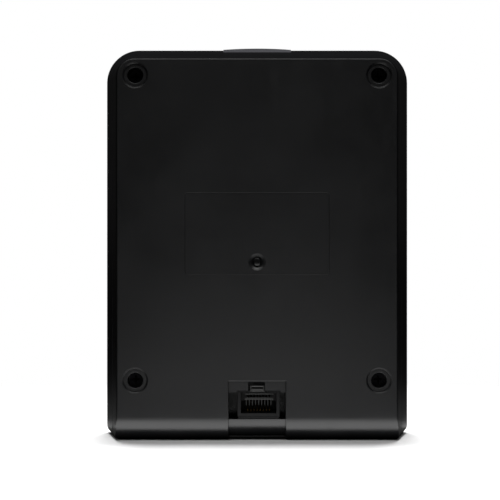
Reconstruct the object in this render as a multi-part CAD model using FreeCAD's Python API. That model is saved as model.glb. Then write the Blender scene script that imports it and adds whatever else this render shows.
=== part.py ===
"""Fingerprint scanner terminal: one solid, or one group of like solids, per sub-part.

Millimetres. +Z is up, the front with display and keys faces -Y, the back with the network jack
faces +Y. The origin is at the middle of the base, in the middle of the overall depth.
Depths are measured forward from the flat back face, heights up from the flat base.
"""
import FreeCAD, Part
import math
import os

V = FreeCAD.Vector

# ---------------------------------------------------------------- driving dimensions
# Body: an upright box whose sides and top flare out towards the front.
BACK_WIDTH = 92.4
BACK_HEIGHT = 125.6
BODY_DEPTH = 34.0
FLARE = 5.6
TOP_CORNER_R = 6.0
LOW_CORNER_R = 2.0
LOW_CORNER_GROWTH = 0.8
ROLL_R = 8.0
BACK_EDGE_R = 0.6
FRONT_EDGE_R = 2.5
WALL = 2.2
FRONT_WALL = 2.6
SEAM_DEPTH = 12.0
SEAM_GROOVE = 0.5
LIP_HEIGHT = 2.0
LIP_THICK = 1.0

# Small rounded edges of the mouldings.
WELL_EDGE_R = 0.25
LABEL_EDGE_R = 0.12
RECESS_EDGE_R = 0.3
OPENING_EDGE_R = 0.3
SLOT_EDGE_R = 0.2

# Clearances.
FIT = 0.1
SLIP = 0.25
RUNNING = 0.08

# Case screws, in deep wells.
SCREW_SIDE_MARGIN = 6.2
SCREW_TOP_MARGIN = 5.6
SCREW_LOW_Z = 20.0
WELL_MOUTH_R = 4.1
WELL_MOUTH_DEPTH = 1.0
WELL_R = 2.5
WELL_DEPTH = 8.2
WELL_POST_END = 10.0
WELL_POST_WALL = 1.4
CASE_SCREW_R = 1.3
CASE_SCREW_HEAD_R = 2.2
CASE_SCREW_HEAD = 1.8
CASE_SCREW_LENGTH = 16.0
POST_WALL = 1.9

# Small screws for the boards.
BOARD_SCREW_R = 0.9
BOARD_SCREW_HEAD_R = 1.8
BOARD_SCREW_HEAD = 1.2
BOARD_SCREW_LENGTH = 6.0
BOSS_WALL = 1.3

# Label recess and tamper plunger.
LABEL_WIDTH = 47.2
LABEL_HEIGHT = 26.8
LABEL_Z = 68.1
LABEL_DEPTH = 0.35
LABEL_CORNER_R = 1.0
TAMPER_Z = 58.8
TAMPER_R = 1.3
TAMPER_TIP_DEPTH = 0.15
TAMPER_TRAVEL = 1.5
TAMPER_COLLAR_R = 2.6
TAMPER_COLLAR = 1.0
TAMPER_GUIDE_END = 5.3
TAMPER_GUIDE_WALL = 2.4
TAMPER_DIMPLE_R = 2.8
TAMPER_DIMPLE_DEPTH = 1.5
TAMPER_SWITCH_SIZE = 6.2
TAMPER_SWITCH_HEIGHT = 5.0
TAMPER_BUTTON_R = 1.5
TAMPER_BUTTON_HEIGHT = 1.2
SPRING_R = 2.15
SPRING_WIRE_R = 0.17
SPRING_TURNS = 6
SPRING_CORNERS = 8
SPRING_BEND_R = 1.8

# Network jack, latch side up, and the recess around it.
JACK_X = -0.5
JACK_WIDTH = 13.7
JACK_LOW_Z = 7.9
JACK_HEIGHT = 13.0
JACK_DEPTH = 16.0
JACK_FACE_DEPTH = 1.8
SOCKET_WIDTH = 11.7
SOCKET_HEIGHT = 7.0
SOCKET_SILL = 1.15
SOCKET_REACH = 12.0
LATCH_WIDTH = 6.2
LATCH_HEIGHT = 1.9
LATCH_KEY_WIDTH = 4.0
LATCH_KEY_HEIGHT = 1.3
CONTACT_COUNT = 8
CONTACT_PITCH = 1.016
CONTACT_R = 0.2
COMB_DEPTH = 2.6
RECESS_WIDTH = 18.8
RECESS_TOP_Z = 19.7
RECESS_DEPTH = 1.2
RECESS_FLOOR = 2.0
RECESS_END_DEPTH = 9.6
RECESS_RIM = 2.0
JACK_HOLE_LOW_Z = 7.2
JACK_HOLE_SIDE_Z = 16.0
JACK_HOLE_TOP_Z = 16.6
LATCH_NOTCH_X = 0.2
LATCH_NOTCH_WIDTH = 5.6
LATCH_NOTCH_TOP_Z = 19.4

# Main board.
BOARD_THICK = 1.6
BOARD_CORNER_R = 1.5
BOARD_EDGE = 3.0
BOARD_LOW_Z = 4.5
BOARD_GAP = 0.6
MAIN_BOSS_Z = (8.0, 54.0)
MAIN_TOP_BOSS_DROP = 3.2

# Display.
WINDOW_WIDTH = 70.0
WINDOW_HEIGHT = 42.0
WINDOW_THICK = 1.2
WINDOW_CORNER_R = 2.0
WINDOW_SINK = 0.1
WINDOW_GAP = 7.2
VIEW_WIDTH = 52.0
VIEW_HEIGHT = 39.2
LCD_WIDTH = 60.3
LCD_HEIGHT = 42.7
LCD_GLASS = 1.4
LCD_LIGHT = 2.0
LCD_GLASS_INSET = 1.2
LCD_FRAME_WALL = 1.6
LCD_FRAME_BACK = 1.0
LCD_FRAME_LAP = 4.0
LCD_EAR_Z = 11.5
LCD_SCREW_LENGTH = 4.5

# Keypad.
KEY_COLUMNS = 4
KEY_ROWS = 4
KEY_WIDTH = 15.6
KEY_HEIGHT = 7.0
KEY_GAP_X = 2.9
KEY_GAP_Z = 2.6
KEY_LOW_Z = 11.0
KEY_PROUD = 1.2
KEY_TRAVEL = 0.8
KEY_CORNER_R = 1.4
KEY_EDGE_R = 0.5
KEY_FLANGE = 0.8
KEY_FLANGE_THICK = 0.8
MAT_THICK = 1.0
DOME_STACK = 1.3
DOME_R = 2.6
DOME_TOP_R = 1.9
KEYPAD_EDGE_LOW_Z = 5.0
KEYPAD_BOSS_Z = (30.0, 45.0)

# Fingerprint sensor and its guide, set down from the top of the back face.
GUIDE_WIDTH = 23.0
GUIDE_LOW_DROP = 29.6
GUIDE_CORNER_R = 6.0
GUIDE_PROUD = 2.6
GUIDE_FOOT_PROUD = 0.5
GUIDE_TOP_PROUD = 6.0
GUIDE_SIDE_TOP_PROUD = 5.3
GUIDE_BACK_DEPTH = 10.0
GUIDE_SKIN = 2.4
GUIDE_SLOPE_HEIGHT = 20.0
GUIDE_NOSE = 3.6
CHANNEL_R = 13.2
CHANNEL_DEPTH = 2.0
CHANNEL_END_DROP = 2.6
PRISM_WIDTH = 14.0
PRISM_HEIGHT = 17.0
PRISM_DROP = 16.6
PRISM_DEPTH = 8.0
PRISM_SINK = 0.4
MOUTH_CORNER_R = 0.3
SENSOR_WIDTH = 25.0
SENSOR_HEIGHT = 27.0
SENSOR_DEPTH = 17.0
SENSOR_WALL = 1.5
SENSOR_EAR_X = 15.8
SENSOR_EAR_Z = 7.0
SENSOR_EAR_THICK = 2.0
LENS_R = 3.0
LENS_LENGTH = 5.0

# Speaker and indicators, either side of the sensor.
SIDE_ZONE_X = 29.5
SIDE_ZONE_DROP = 17.6
SPEAKER_R = 10.0
SPEAKER_THICK = 4.0
SPEAKER_RING = 1.2
SLOT_COUNT = 5
SLOT_PITCH = 2.8
SLOT_HEIGHT = 1.2
SLOT_WIDTH = 13.0
LIGHT_SPACING = 8.0
LIGHT_R = 2.0
LIGHT_PIPE_LENGTH = 6.0

# ---------------------------------------------------------------- places worked out from them
Y_BACK = (BODY_DEPTH + GUIDE_PROUD) / 2
FRONT = BODY_DEPTH
FRONT_INNER = BODY_DEPTH - FRONT_WALL
TOP = BACK_HEIGHT
SCREW_X = BACK_WIDTH / 2 - SCREW_SIDE_MARGIN
SCREW_TOP_Z = TOP - SCREW_TOP_MARGIN
CASE_SCREWS = [(x, z) for x in (-SCREW_X, SCREW_X) for z in (SCREW_LOW_Z, SCREW_TOP_Z)]
POST_R = CASE_SCREW_R + POST_WALL
BOSS_R = BOARD_SCREW_R + BOSS_WALL

MAIN_BACK = JACK_FACE_DEPTH + JACK_DEPTH
MAIN_FRONT = MAIN_BACK + BOARD_THICK
GUIDE_LOW_Z = TOP - GUIDE_LOW_DROP
MAIN_TOP_Z = GUIDE_LOW_Z - BOARD_GAP
MAIN_BOSSES = [(x, z) for x in (-SCREW_X, SCREW_X)
               for z in MAIN_BOSS_Z + (MAIN_TOP_Z - MAIN_TOP_BOSS_DROP,)]

FLANGE_FRONT = FRONT_INNER - FIT
FLANGE_BACK = FLANGE_FRONT - KEY_FLANGE_THICK
DOME_HEIGHT = KEY_TRAVEL + DOME_STACK
MAT_FRONT = FLANGE_BACK - FIT - DOME_HEIGHT
MAT_BACK = MAT_FRONT - MAT_THICK
KEYPAD_FRONT = MAT_BACK
KEYPAD_BACK = KEYPAD_FRONT - BOARD_THICK
KEY_PITCH_X = KEY_WIDTH + KEY_GAP_X
KEY_PITCH_Z = KEY_HEIGHT + KEY_GAP_Z
KEY_TOP_Z = KEY_LOW_Z + (KEY_ROWS - 1) * KEY_PITCH_Z
WINDOW_Z = KEY_TOP_Z + (KEY_HEIGHT + WINDOW_HEIGHT) / 2 + WINDOW_GAP
KEYPAD_TOP_Z = WINDOW_Z - LCD_HEIGHT / 2 - LCD_FRAME_WALL - BOARD_GAP
KEYPAD_BOSSES = [(x, z) for x in (-SCREW_X, SCREW_X) for z in KEYPAD_BOSS_Z]

LCD_FRONT = FRONT_INNER - FIT
LCD_MIDDLE = LCD_FRONT - LCD_GLASS
LCD_BACK = LCD_MIDDLE - LCD_LIGHT
LCD_FRAME_BACK_DEPTH = LCD_BACK - LCD_FRAME_BACK
LCD_EAR_X = LCD_WIDTH / 2 + LCD_FRAME_WALL + BOSS_R
LCD_BOSSES = [(x, WINDOW_Z + z) for x in (-LCD_EAR_X, LCD_EAR_X) for z in (-LCD_EAR_Z, LCD_EAR_Z)]

PRISM_Z = TOP - PRISM_DROP
PRISM_FRONT = FRONT + GUIDE_FOOT_PROUD - PRISM_SINK
PRISM_BACK = PRISM_FRONT - PRISM_DEPTH
SENSOR_FRONT = FRONT_INNER - FIT
SENSOR_BACK = SENSOR_FRONT - SENSOR_DEPTH
SENSOR_EAR_FRONT = SENSOR_FRONT - 4 * SENSOR_EAR_THICK
SENSOR_BOSSES = [(x, PRISM_Z + z) for x in (-SENSOR_EAR_X, SENSOR_EAR_X)
                 for z in (-SENSOR_EAR_Z, SENSOR_EAR_Z)]
SIDE_ZONE_Z = TOP - SIDE_ZONE_DROP
SPEAKER_FRONT = FRONT_INNER - SPEAKER_RING

COLLAR_BACK = TAMPER_GUIDE_END + FIT
COLLAR_FRONT = COLLAR_BACK + TAMPER_COLLAR
SWITCH_BACK = MAIN_BACK - TAMPER_SWITCH_HEIGHT
BUTTON_BACK = SWITCH_BACK - TAMPER_BUTTON_HEIGHT
PLUNGER_END = BUTTON_BACK - TAMPER_TRAVEL - FIT


# ---------------------------------------------------------------- shape helpers
def point(x, depth, z):
    """A point from its width, its depth forward of the back face, and its height."""
    return V(x, Y_BACK - depth, z)


def block(x0, x1, d0, d1, z0, z1):
    """Rectangular block between two widths, two depths and two heights."""
    return Part.makeBox(x1 - x0, d1 - d0, z1 - z0, point(x0, d1, z0))


def rod(radius, x, z, d0, d1):
    """Round rod along the depth."""
    return Part.makeCylinder(radius, d1 - d0, point(x, d0, z), V(0, -1, 0))


def taper(r0, r1, x, z, d0, d1):
    """Round taper along the depth, r0 at d0 and r1 at d1."""
    return Part.makeCone(r0, r1, d1 - d0, point(x, d0, z), V(0, -1, 0))


def rounded_wire(x0, x1, z0, z1, low_r, top_r, depth):
    """Rectangle across the depth with its own radius at the low and at the top corners."""
    def corner(x, z, radius, start):
        ends = [math.radians(start + turn) for turn in (0, 45, 90)]
        return Part.Arc(*[point(x + radius * math.cos(a), depth, z + radius * math.sin(a))
                          for a in ends]).toShape()

    def side(xa, za, xb, zb):
        return Part.LineSegment(point(xa, depth, za), point(xb, depth, zb)).toShape()

    return Part.Wire([
        side(x0 + low_r, z0, x1 - low_r, z0), corner(x1 - low_r, z0 + low_r, low_r, -90),
        side(x1, z0 + low_r, x1, z1 - top_r), corner(x1 - top_r, z1 - top_r, top_r, 0),
        side(x1 - top_r, z1, x0 + top_r, z1), corner(x0 + top_r, z1 - top_r, top_r, 90),
        side(x0, z1 - top_r, x0, z0 + low_r), corner(x0 + low_r, z0 + low_r, low_r, 180)])


def plate(x, z, width, height, d0, d1, radius):
    """Plate with rounded corners, centred at (x, z) and as thick as d0 to d1."""
    wire = rounded_wire(x - width / 2, x + width / 2, z - height / 2, z + height / 2,
                        radius, radius, d1)
    return Part.Face(wire).extrude(V(0, d1 - d0, 0))


def side_profile(half_width, steps):
    """Side view swept across the width. Steps are (depth, z), or a pair of them for an arc."""
    edges = []
    last = steps[0]
    for step in steps[1:] + steps[:1]:
        if isinstance(step[0], tuple):
            middle, end = step
            edges.append(Part.Arc(point(-half_width, *last), point(-half_width, *middle),
                                  point(-half_width, *end)).toShape())
        else:
            end = step
            edges.append(Part.LineSegment(point(-half_width, *last),
                                          point(-half_width, *end)).toShape())
        last = end
    return Part.Face(Part.Wire(edges)).extrude(V(2 * half_width, 0, 0))


def edges_at_depth(shape, depth):
    """Edges of a shape that lie flat at one depth."""
    level = Y_BACK - depth
    return [edge for edge in shape.Edges
            if all(abs(vertex.Y - level) < 1e-4 for vertex in edge.Vertexes)
            and abs(edge.CenterOfMass.y - level) < 1e-4]


def round_edges(shape, depth, circle_r):
    """Circles of one radius that lie flat at one depth."""
    return [edge for edge in edges_at_depth(shape, depth)
            if edge.isClosed() and abs(edge.Length - 2 * math.pi * circle_r) < 1e-4]


def inner_edges(shape, depth, x, z, width, height):
    """Edges that lie flat at one depth within a rectangle centred at (x, z)."""
    near = 1e-4
    return [edge for edge in edges_at_depth(shape, depth)
            if all(abs(vertex.X - x) < width / 2 + near and abs(vertex.Z - z) < height / 2 + near
                   for vertex in edge.Vertexes)]


def bent_path(points, bend_r):
    """Wire of straight runs joined by tangent arcs of one radius."""
    edges = []
    start = points[0]
    for before, corner, after in zip(points, points[1:], points[2:]):
        to_corner = (corner - before).normalize()
        to_next = (after - corner).normalize()
        turn = to_corner.getAngle(to_next)
        setback = bend_r * math.tan(turn / 2)
        arc_start = corner - to_corner * setback
        arc_end = corner + to_next * setback
        inward = (to_next - to_corner).normalize()
        arc_middle = corner + inward * bend_r * (1 / math.cos(turn / 2) - 1)
        edges.append(Part.LineSegment(start, arc_start).toShape())
        edges.append(Part.Arc(arc_start, arc_middle, arc_end).toShape())
        start = arc_end
    edges.append(Part.LineSegment(start, points[-1]).toShape())
    return Part.Wire(edges)


def ribbon(x, width, thick, bend_r, steps):
    """Flat flex cable of one width whose side view runs through the (depth, z) steps."""
    points = [point(x, *step) for step in steps]
    path = bent_path(points, bend_r)
    along = (points[1] - points[0]).normalize()
    across = V(1, 0, 0)
    up = along.cross(across)
    corners = [points[0] + across * (sx * width / 2) + up * (sy * thick / 2)
               for sx, sy in ((-1, -1), (1, -1), (1, 1), (-1, 1), (-1, -1))]
    return path.makePipeShell([Part.makePolygon(corners)], True, True)


def lead(points, radius, bend_r):
    """Round wire that runs through the points."""
    path = bent_path(points, bend_r)
    section = Part.Wire([Part.makeCircle(radius, points[0], points[1] - points[0])])
    return path.makePipeShell([section], True, True)


def fuse(shapes):
    """One solid from several that overlap or meet."""
    return shapes[0].multiFuse(shapes[1:]).removeSplitter()


# ---------------------------------------------------------------- body shells
def body_wire(depth, inset):
    """Outline of the body at one depth, moved inward by an inset."""
    share = depth / BODY_DEPTH
    grow = FLARE * share - inset
    half = BACK_WIDTH / 2 + grow
    low_r = max(LOW_CORNER_R + LOW_CORNER_GROWTH * share - inset, LOW_CORNER_R / 4)
    return rounded_wire(-half, half, inset, TOP + grow, low_r, TOP_CORNER_R + grow, depth)


def body_loft(inset, d0, d1):
    """The flared body between two depths, with true planes as its flat sides."""
    loft = Part.makeLoft([body_wire(d0, inset), body_wire(d1, inset)], True, True)
    faces = []
    for face in loft.Faces:
        plane = face.findPlane()
        faces.append(face if plane is None else Part.Face(plane, face.OuterWire))
    shell = Part.Shell(faces)
    shell.sewShape()
    return Part.Solid(shell)


def roll_block(inset, d1):
    """Everything in front of the rolled lower back edge, moved inward by an inset."""
    radius = ROLL_R - inset
    centre = inset + radius
    slant = radius * math.sqrt(0.5)
    middle = (centre - slant, centre - slant)
    high = TOP + 2 * FLARE
    return side_profile(BACK_WIDTH, [(d1, inset), (centre, inset), (middle, (inset, centre)),
                                     (inset, high), (d1, high)])


def body_solid(inset, d0, d1):
    """The flared body between two depths, moved inward by an inset."""
    return body_loft(inset, d0, d1).common(roll_block(inset, d1))


def outer_body():
    """Outside of the whole terminal, with its small back edge and larger front edge rounded."""
    loft = body_loft(0, 0, BODY_DEPTH)
    loft = loft.makeFillet(BACK_EDGE_R, edges_at_depth(loft, 0))
    loft = loft.makeFillet(FRONT_EDGE_R, edges_at_depth(loft, BODY_DEPTH))
    return loft.common(roll_block(0, BODY_DEPTH))


def slab(d0, d1):
    """Everything between two depths."""
    return block(-BACK_WIDTH, BACK_WIDTH, d0, d1, -FLARE, TOP + 2 * FLARE)


def rear_cover():
    """Back shell with screw wells, label recess, plunger guide and jack recess."""
    cavity = body_solid(WALL, WALL, SEAM_DEPTH)
    cover = outer_body().common(slab(0, SEAM_DEPTH)).cut(cavity)
    lip_outside = body_solid(WALL - LIP_THICK + FIT, SEAM_DEPTH - LIP_THICK, SEAM_DEPTH + LIP_HEIGHT)
    lip_inside = body_solid(WALL, SEAM_DEPTH - 2 * LIP_THICK, SEAM_DEPTH + 2 * LIP_HEIGHT)
    adds = [lip_outside.cut(lip_inside)]
    adds += [rod(WELL_R + WELL_POST_WALL, x, z, WALL / 2, WELL_POST_END) for x, z in CASE_SCREWS]
    guide_r = TAMPER_R + TAMPER_GUIDE_WALL
    adds.append(rod(guide_r, 0, TAMPER_Z, WALL / 2, TAMPER_GUIDE_END))

    # The wall follows the jack recess inward, so that it stays thick enough.
    rim_half = RECESS_WIDTH / 2 + RECESS_RIM
    rim_zone = block(-rim_half, rim_half, 0, RECESS_END_DEPTH + RECESS_RIM,
                     0, RECESS_TOP_Z + RECESS_RIM)
    recess_back = roll_block(RECESS_DEPTH + RECESS_FLOOR, BODY_DEPTH)
    adds.append(rim_zone.common(body_solid(WALL / 2, 0, BODY_DEPTH)).cut(recess_back))
    cover = fuse([cover] + adds)

    cuts = []
    for x, z in CASE_SCREWS:
        cuts.append(rod(WELL_MOUTH_R, x, z, 0, WELL_MOUTH_DEPTH))
        cuts.append(rod(WELL_R, x, z, 0, WELL_DEPTH))
        cuts.append(rod(CASE_SCREW_R + FIT, x, z, 0, WELL_POST_END))
    cuts.append(plate(0, LABEL_Z, LABEL_WIDTH, LABEL_HEIGHT, 0, LABEL_DEPTH, LABEL_CORNER_R))
    cuts.append(taper(TAMPER_DIMPLE_R, TAMPER_R + RUNNING, 0, TAMPER_Z,
                      LABEL_DEPTH, LABEL_DEPTH + TAMPER_DIMPLE_DEPTH))
    cuts.append(rod(TAMPER_R + RUNNING, 0, TAMPER_Z, 0, TAMPER_GUIDE_END))
    half = RECESS_WIDTH / 2
    recess = block(-half, half, 0, RECESS_END_DEPTH, 0, RECESS_TOP_Z)
    cuts.append(recess.cut(roll_block(RECESS_DEPTH, BODY_DEPTH)))
    through = RECESS_DEPTH + RECESS_FLOOR
    cuts.append(block(-half, half, 0, 2 * through, JACK_HOLE_LOW_Z, JACK_HOLE_SIDE_Z))
    middle_half = JACK_WIDTH / 2 + SLIP
    cuts.append(block(JACK_X - middle_half, JACK_X + middle_half, 0, through,
                      JACK_HOLE_LOW_Z, JACK_HOLE_TOP_Z))
    notch_half = LATCH_NOTCH_WIDTH / 2
    cuts.append(block(LATCH_NOTCH_X - notch_half, LATCH_NOTCH_X + notch_half, 0, through,
                      JACK_HOLE_LOW_Z, LATCH_NOTCH_TOP_Z))
    cover = cover.cut(cuts)
    cover = cover.makeFillet(WELL_EDGE_R, round_edges(cover, 0, WELL_MOUTH_R)
                             + round_edges(cover, WELL_MOUTH_DEPTH, WELL_R))
    cover = cover.makeFillet(LABEL_EDGE_R, inner_edges(cover, 0, 0, LABEL_Z, LABEL_WIDTH, LABEL_HEIGHT)
                             + round_edges(cover, LABEL_DEPTH, TAMPER_DIMPLE_R))
    return cover.makeFillet(RECESS_EDGE_R, recess_edges(cover))


def recess_edges(cover):
    """Edges of the jack recess on the outside of the cover, round the top and down the roll."""
    half = RECESS_WIDTH / 2
    near = 1e-3

    def outside(vertex):
        depth = Y_BACK - vertex.Y
        flat = abs(depth) < near and ROLL_R - near < vertex.Z < RECESS_TOP_Z + near
        roll = abs(math.hypot(ROLL_R - depth, ROLL_R - vertex.Z) - ROLL_R) < near and vertex.Z < ROLL_R + near
        return abs(vertex.X) < half + near and (flat or roll)

    return [edge for edge in cover.Edges if edge.Length > near
            and all(outside(vertex) for vertex in edge.Vertexes)
            and abs(edge.CenterOfMass.x) <= half + near
            and not (abs(edge.CenterOfMass.x) < half - near and edge.CenterOfMass.z < RECESS_TOP_Z - near)]


def guide_wire(clearance, top_z, depth):
    """Outline of the finger guide's opening: straight sides and round lower corners."""
    half = GUIDE_WIDTH / 2 + clearance
    return rounded_wire(-half, half, GUIDE_LOW_Z - clearance, top_z,
                        GUIDE_CORNER_R + clearance, LOW_CORNER_R, depth)


def key_places():
    """Centre of every key with its row and column, from the top left as the user sees them."""
    places = []
    for row in range(KEY_ROWS):
        for column in range(KEY_COLUMNS):
            x = (column - (KEY_COLUMNS - 1) / 2) * KEY_PITCH_X
            places.append((x, KEY_TOP_Z - row * KEY_PITCH_Z))
    return places


def front_housing():
    """Front shell with its posts, bosses and every opening of the front face."""
    cavity = body_solid(WALL, SEAM_DEPTH - LIP_HEIGHT, FRONT_INNER)
    shell = outer_body().common(slab(SEAM_DEPTH, BODY_DEPTH)).cut(cavity)
    seat = body_solid(WALL - LIP_THICK, SEAM_DEPTH, SEAM_DEPTH + LIP_HEIGHT + FIT)
    groove_slab = outer_body().common(slab(SEAM_DEPTH, SEAM_DEPTH + SEAM_GROOVE))
    groove_core = body_solid(SEAM_GROOVE, SEAM_DEPTH - SEAM_GROOVE, SEAM_DEPTH + 2 * SEAM_GROOVE)
    shell = shell.cut([seat, groove_slab.cut(groove_core)])

    adds = []
    root = FRONT_INNER + FRONT_WALL / 4
    adds += [rod(POST_R, x, z, WELL_POST_END + FIT, root) for x, z in CASE_SCREWS]
    adds += [rod(BOSS_R, x, z, MAIN_FRONT, root) for x, z in MAIN_BOSSES]
    adds += [rod(BOSS_R, x, z, KEYPAD_FRONT, root) for x, z in KEYPAD_BOSSES]
    adds += [rod(BOSS_R, x, z, LCD_BACK, root) for x, z in LCD_BOSSES]
    adds += [rod(BOSS_R, x, z, SENSOR_EAR_FRONT, root) for x, z in SENSOR_BOSSES]
    ring = rod(SPEAKER_R + SPEAKER_RING, -SIDE_ZONE_X, SIDE_ZONE_Z, SPEAKER_FRONT - SPEAKER_RING, root)
    adds.append(ring.cut(rod(SPEAKER_R + FIT, -SIDE_ZONE_X, SIDE_ZONE_Z, 0, FRONT_INNER)))
    shell = fuse([shell] + adds)

    cuts = [rod(CASE_SCREW_R, x, z, 0, WELL_DEPTH + CASE_SCREW_LENGTH + FIT) for x, z in CASE_SCREWS]
    sensor_seat = SENSOR_EAR_FRONT - SENSOR_EAR_THICK
    for places, tip in ((MAIN_BOSSES, MAIN_BACK + BOARD_SCREW_LENGTH),
                        (KEYPAD_BOSSES, KEYPAD_BACK + BOARD_SCREW_LENGTH),
                        (LCD_BOSSES, LCD_FRAME_BACK_DEPTH + LCD_SCREW_LENGTH),
                        (SENSOR_BOSSES, sensor_seat + BOARD_SCREW_LENGTH)):
        cuts += [rod(BOARD_SCREW_R, x, z, 0, tip + FIT) for x, z in places]
    window_seat = FRONT - WINDOW_SINK - WINDOW_THICK - FIT
    cuts.append(plate(0, WINDOW_Z, WINDOW_WIDTH + 2 * FIT, WINDOW_HEIGHT + 2 * FIT,
                      window_seat, FRONT, WINDOW_CORNER_R + FIT))
    cuts.append(plate(0, WINDOW_Z, VIEW_WIDTH, VIEW_HEIGHT, FRONT_INNER - FIT, FRONT,
                      WINDOW_CORNER_R))
    cuts += [plate(x, z, KEY_WIDTH + 2 * SLIP, KEY_HEIGHT + 2 * SLIP, FRONT_INNER - FIT, FRONT,
                   KEY_CORNER_R + SLIP) for x, z in key_places()]
    for index in range(SLOT_COUNT):
        z = SIDE_ZONE_Z + (index - (SLOT_COUNT - 1) / 2) * SLOT_PITCH
        cuts.append(plate(-SIDE_ZONE_X, z, SLOT_WIDTH, SLOT_HEIGHT, FRONT_INNER - FIT, FRONT,
                          SLOT_HEIGHT * 0.49))
    cuts += [rod(LIGHT_R + FIT, x, SIDE_ZONE_Z, FRONT_INNER - FIT, FRONT) for x in light_places()]
    opening = Part.Face(guide_wire(FIT, TOP + 2 * FLARE, FRONT))
    cuts.append(opening.extrude(V(0, GUIDE_BACK_DEPTH + FIT, 0)))
    shell = shell.cut(cuts)

    near = 3 * FIT
    slots = inner_edges(shell, FRONT, -SIDE_ZONE_X, SIDE_ZONE_Z, SLOT_WIDTH + near,
                        SLOT_COUNT * SLOT_PITCH)
    shell = shell.makeFillet(SLOT_EDGE_R, slots + round_edges(shell, FRONT, LIGHT_R + FIT))
    edges = inner_edges(shell, FRONT, 0, WINDOW_Z, WINDOW_WIDTH + near, WINDOW_HEIGHT + near)
    for x, z in key_places():
        edges += inner_edges(shell, FRONT, x, z, KEY_WIDTH + 2 * SLIP + near, KEY_HEIGHT + 2 * SLIP + near)
    return shell.makeFillet(OPENING_EDGE_R, edges)


def light_places():
    """Widths of the indicator light pipes."""
    return [SIDE_ZONE_X - LIGHT_SPACING / 2, SIDE_ZONE_X + LIGHT_SPACING / 2]


def screws(places, seat, radius, length, head_r, head):
    """Group of pan-head screws that point forward, with a cross recess in each head."""
    group = []
    for x, z in places:
        screw = rod(head_r, x, z, seat - head, seat).fuse(rod(radius, x, z, seat - head, seat + length))
        slot = head_r * 0.7
        blade = head_r * 0.14
        depth = seat - head / 2
        cross = block(x - slot, x + slot, seat - head, depth, z - blade, z + blade).fuse(
            block(x - blade, x + blade, seat - head, depth, z - slot, z + slot))
        group.append(screw.cut(cross).removeSplitter())
    return Part.makeCompound(group)


# ---------------------------------------------------------------- network jack
def socket_places():
    """Low and top height of the jack's opening."""
    low = JACK_LOW_Z + SOCKET_SILL
    return low, low + SOCKET_HEIGHT


def jack():
    """Moulded jack block that stands on the board and opens straight back."""
    low, top = socket_places()
    half = JACK_WIDTH / 2
    through = RECESS_DEPTH + RECESS_FLOOR + 2 * FIT
    body = block(JACK_X - half, JACK_X + half, through, MAIN_BACK,
                 JACK_LOW_Z, JACK_LOW_Z + JACK_HEIGHT)
    nose = block(JACK_X - half, JACK_X + half, JACK_FACE_DEPTH, through + FIT,
                 JACK_LOW_Z, JACK_HOLE_TOP_Z - FIT)
    block_shape = fuse([body, nose])
    reach = JACK_FACE_DEPTH + SOCKET_REACH
    cuts = [block(JACK_X - SOCKET_WIDTH / 2, JACK_X + SOCKET_WIDTH / 2, JACK_FACE_DEPTH, reach, low, top)]
    for width, height in ((LATCH_WIDTH, LATCH_HEIGHT),
                          (LATCH_KEY_WIDTH, LATCH_HEIGHT + LATCH_KEY_HEIGHT)):
        cuts.append(block(JACK_X - width / 2, JACK_X + width / 2, JACK_FACE_DEPTH, reach, low, top + height))
    return block_shape.cut(cuts)


def contact_places():
    """Widths of the eight contacts."""
    return [JACK_X + (index - (CONTACT_COUNT - 1) / 2) * CONTACT_PITCH for index in range(CONTACT_COUNT)]


def comb():
    """Insulator at the inner end of the socket whose slots keep the contact wires apart."""
    low, top = socket_places()
    reach = JACK_FACE_DEPTH + SOCKET_REACH
    back = reach - COMB_DEPTH
    half = SOCKET_WIDTH / 2 - FIT
    bar = block(JACK_X - half, JACK_X + half, back, reach, low + SOCKET_HEIGHT / 2, top - FIT)
    slot_half = CONTACT_R + FIT
    cuts = [block(x - slot_half, x + slot_half, back, reach - COMB_DEPTH / 3,
                  low, top - 3 * CONTACT_R) for x in contact_places()]
    return bar.cut(cuts)


def contacts():
    """Eight sprung wires that rise from the lower front lip to the comb."""
    low, top = socket_places()
    reach = JACK_FACE_DEPTH + SOCKET_REACH
    front = JACK_FACE_DEPTH + SOCKET_SILL
    rise_end = reach - COMB_DEPTH / 2
    floor = low + CONTACT_R + FIT
    wires = []
    for x in contact_places():
        points = [point(x, reach - FIT, floor), point(x, front, floor),
                  point(x, rise_end, top - SOCKET_HEIGHT / 4)]
        path = [points[0], points[1] + V(0, -2 * CONTACT_R, 0), points[2]]
        wires.append(lead(path, CONTACT_R, 2 * CONTACT_R))
    return Part.makeCompound(wires)


# ---------------------------------------------------------------- tamper switch
def tamper_plunger():
    """Domed pin with a collar that stops behind its guide in the rear cover."""
    dome = Part.makeSphere(TAMPER_R, point(0, TAMPER_TIP_DEPTH + TAMPER_R, TAMPER_Z))
    shaft = rod(TAMPER_R, 0, TAMPER_Z, TAMPER_TIP_DEPTH + TAMPER_R, PLUNGER_END)
    collar = rod(TAMPER_COLLAR_R, 0, TAMPER_Z, COLLAR_BACK, COLLAR_FRONT)
    return fuse([shaft, dome, collar])


def tamper_spring():
    """Compression spring between the plunger's collar and the switch, as short runs and bends."""
    low = COLLAR_FRONT + SPRING_WIRE_R + FIT
    high = SWITCH_BACK - SPRING_WIRE_R - FIT
    count = SPRING_TURNS * SPRING_CORNERS
    points = []
    for index in range(count + 1):
        angle = 2 * math.pi * index / SPRING_CORNERS
        points.append(point(SPRING_R * math.cos(angle), low + (high - low) * index / count,
                            TAMPER_Z + SPRING_R * math.sin(angle)))
    return lead(points, SPRING_WIRE_R, SPRING_BEND_R)


def tamper_switch():
    """Small push switch on the main board, under the plunger."""
    body = plate(0, TAMPER_Z, TAMPER_SWITCH_SIZE, TAMPER_SWITCH_SIZE, SWITCH_BACK, MAIN_BACK, 0.4)
    button = rod(TAMPER_BUTTON_R, 0, TAMPER_Z, BUTTON_BACK, SWITCH_BACK + FIT)
    return fuse([body, button])


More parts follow.
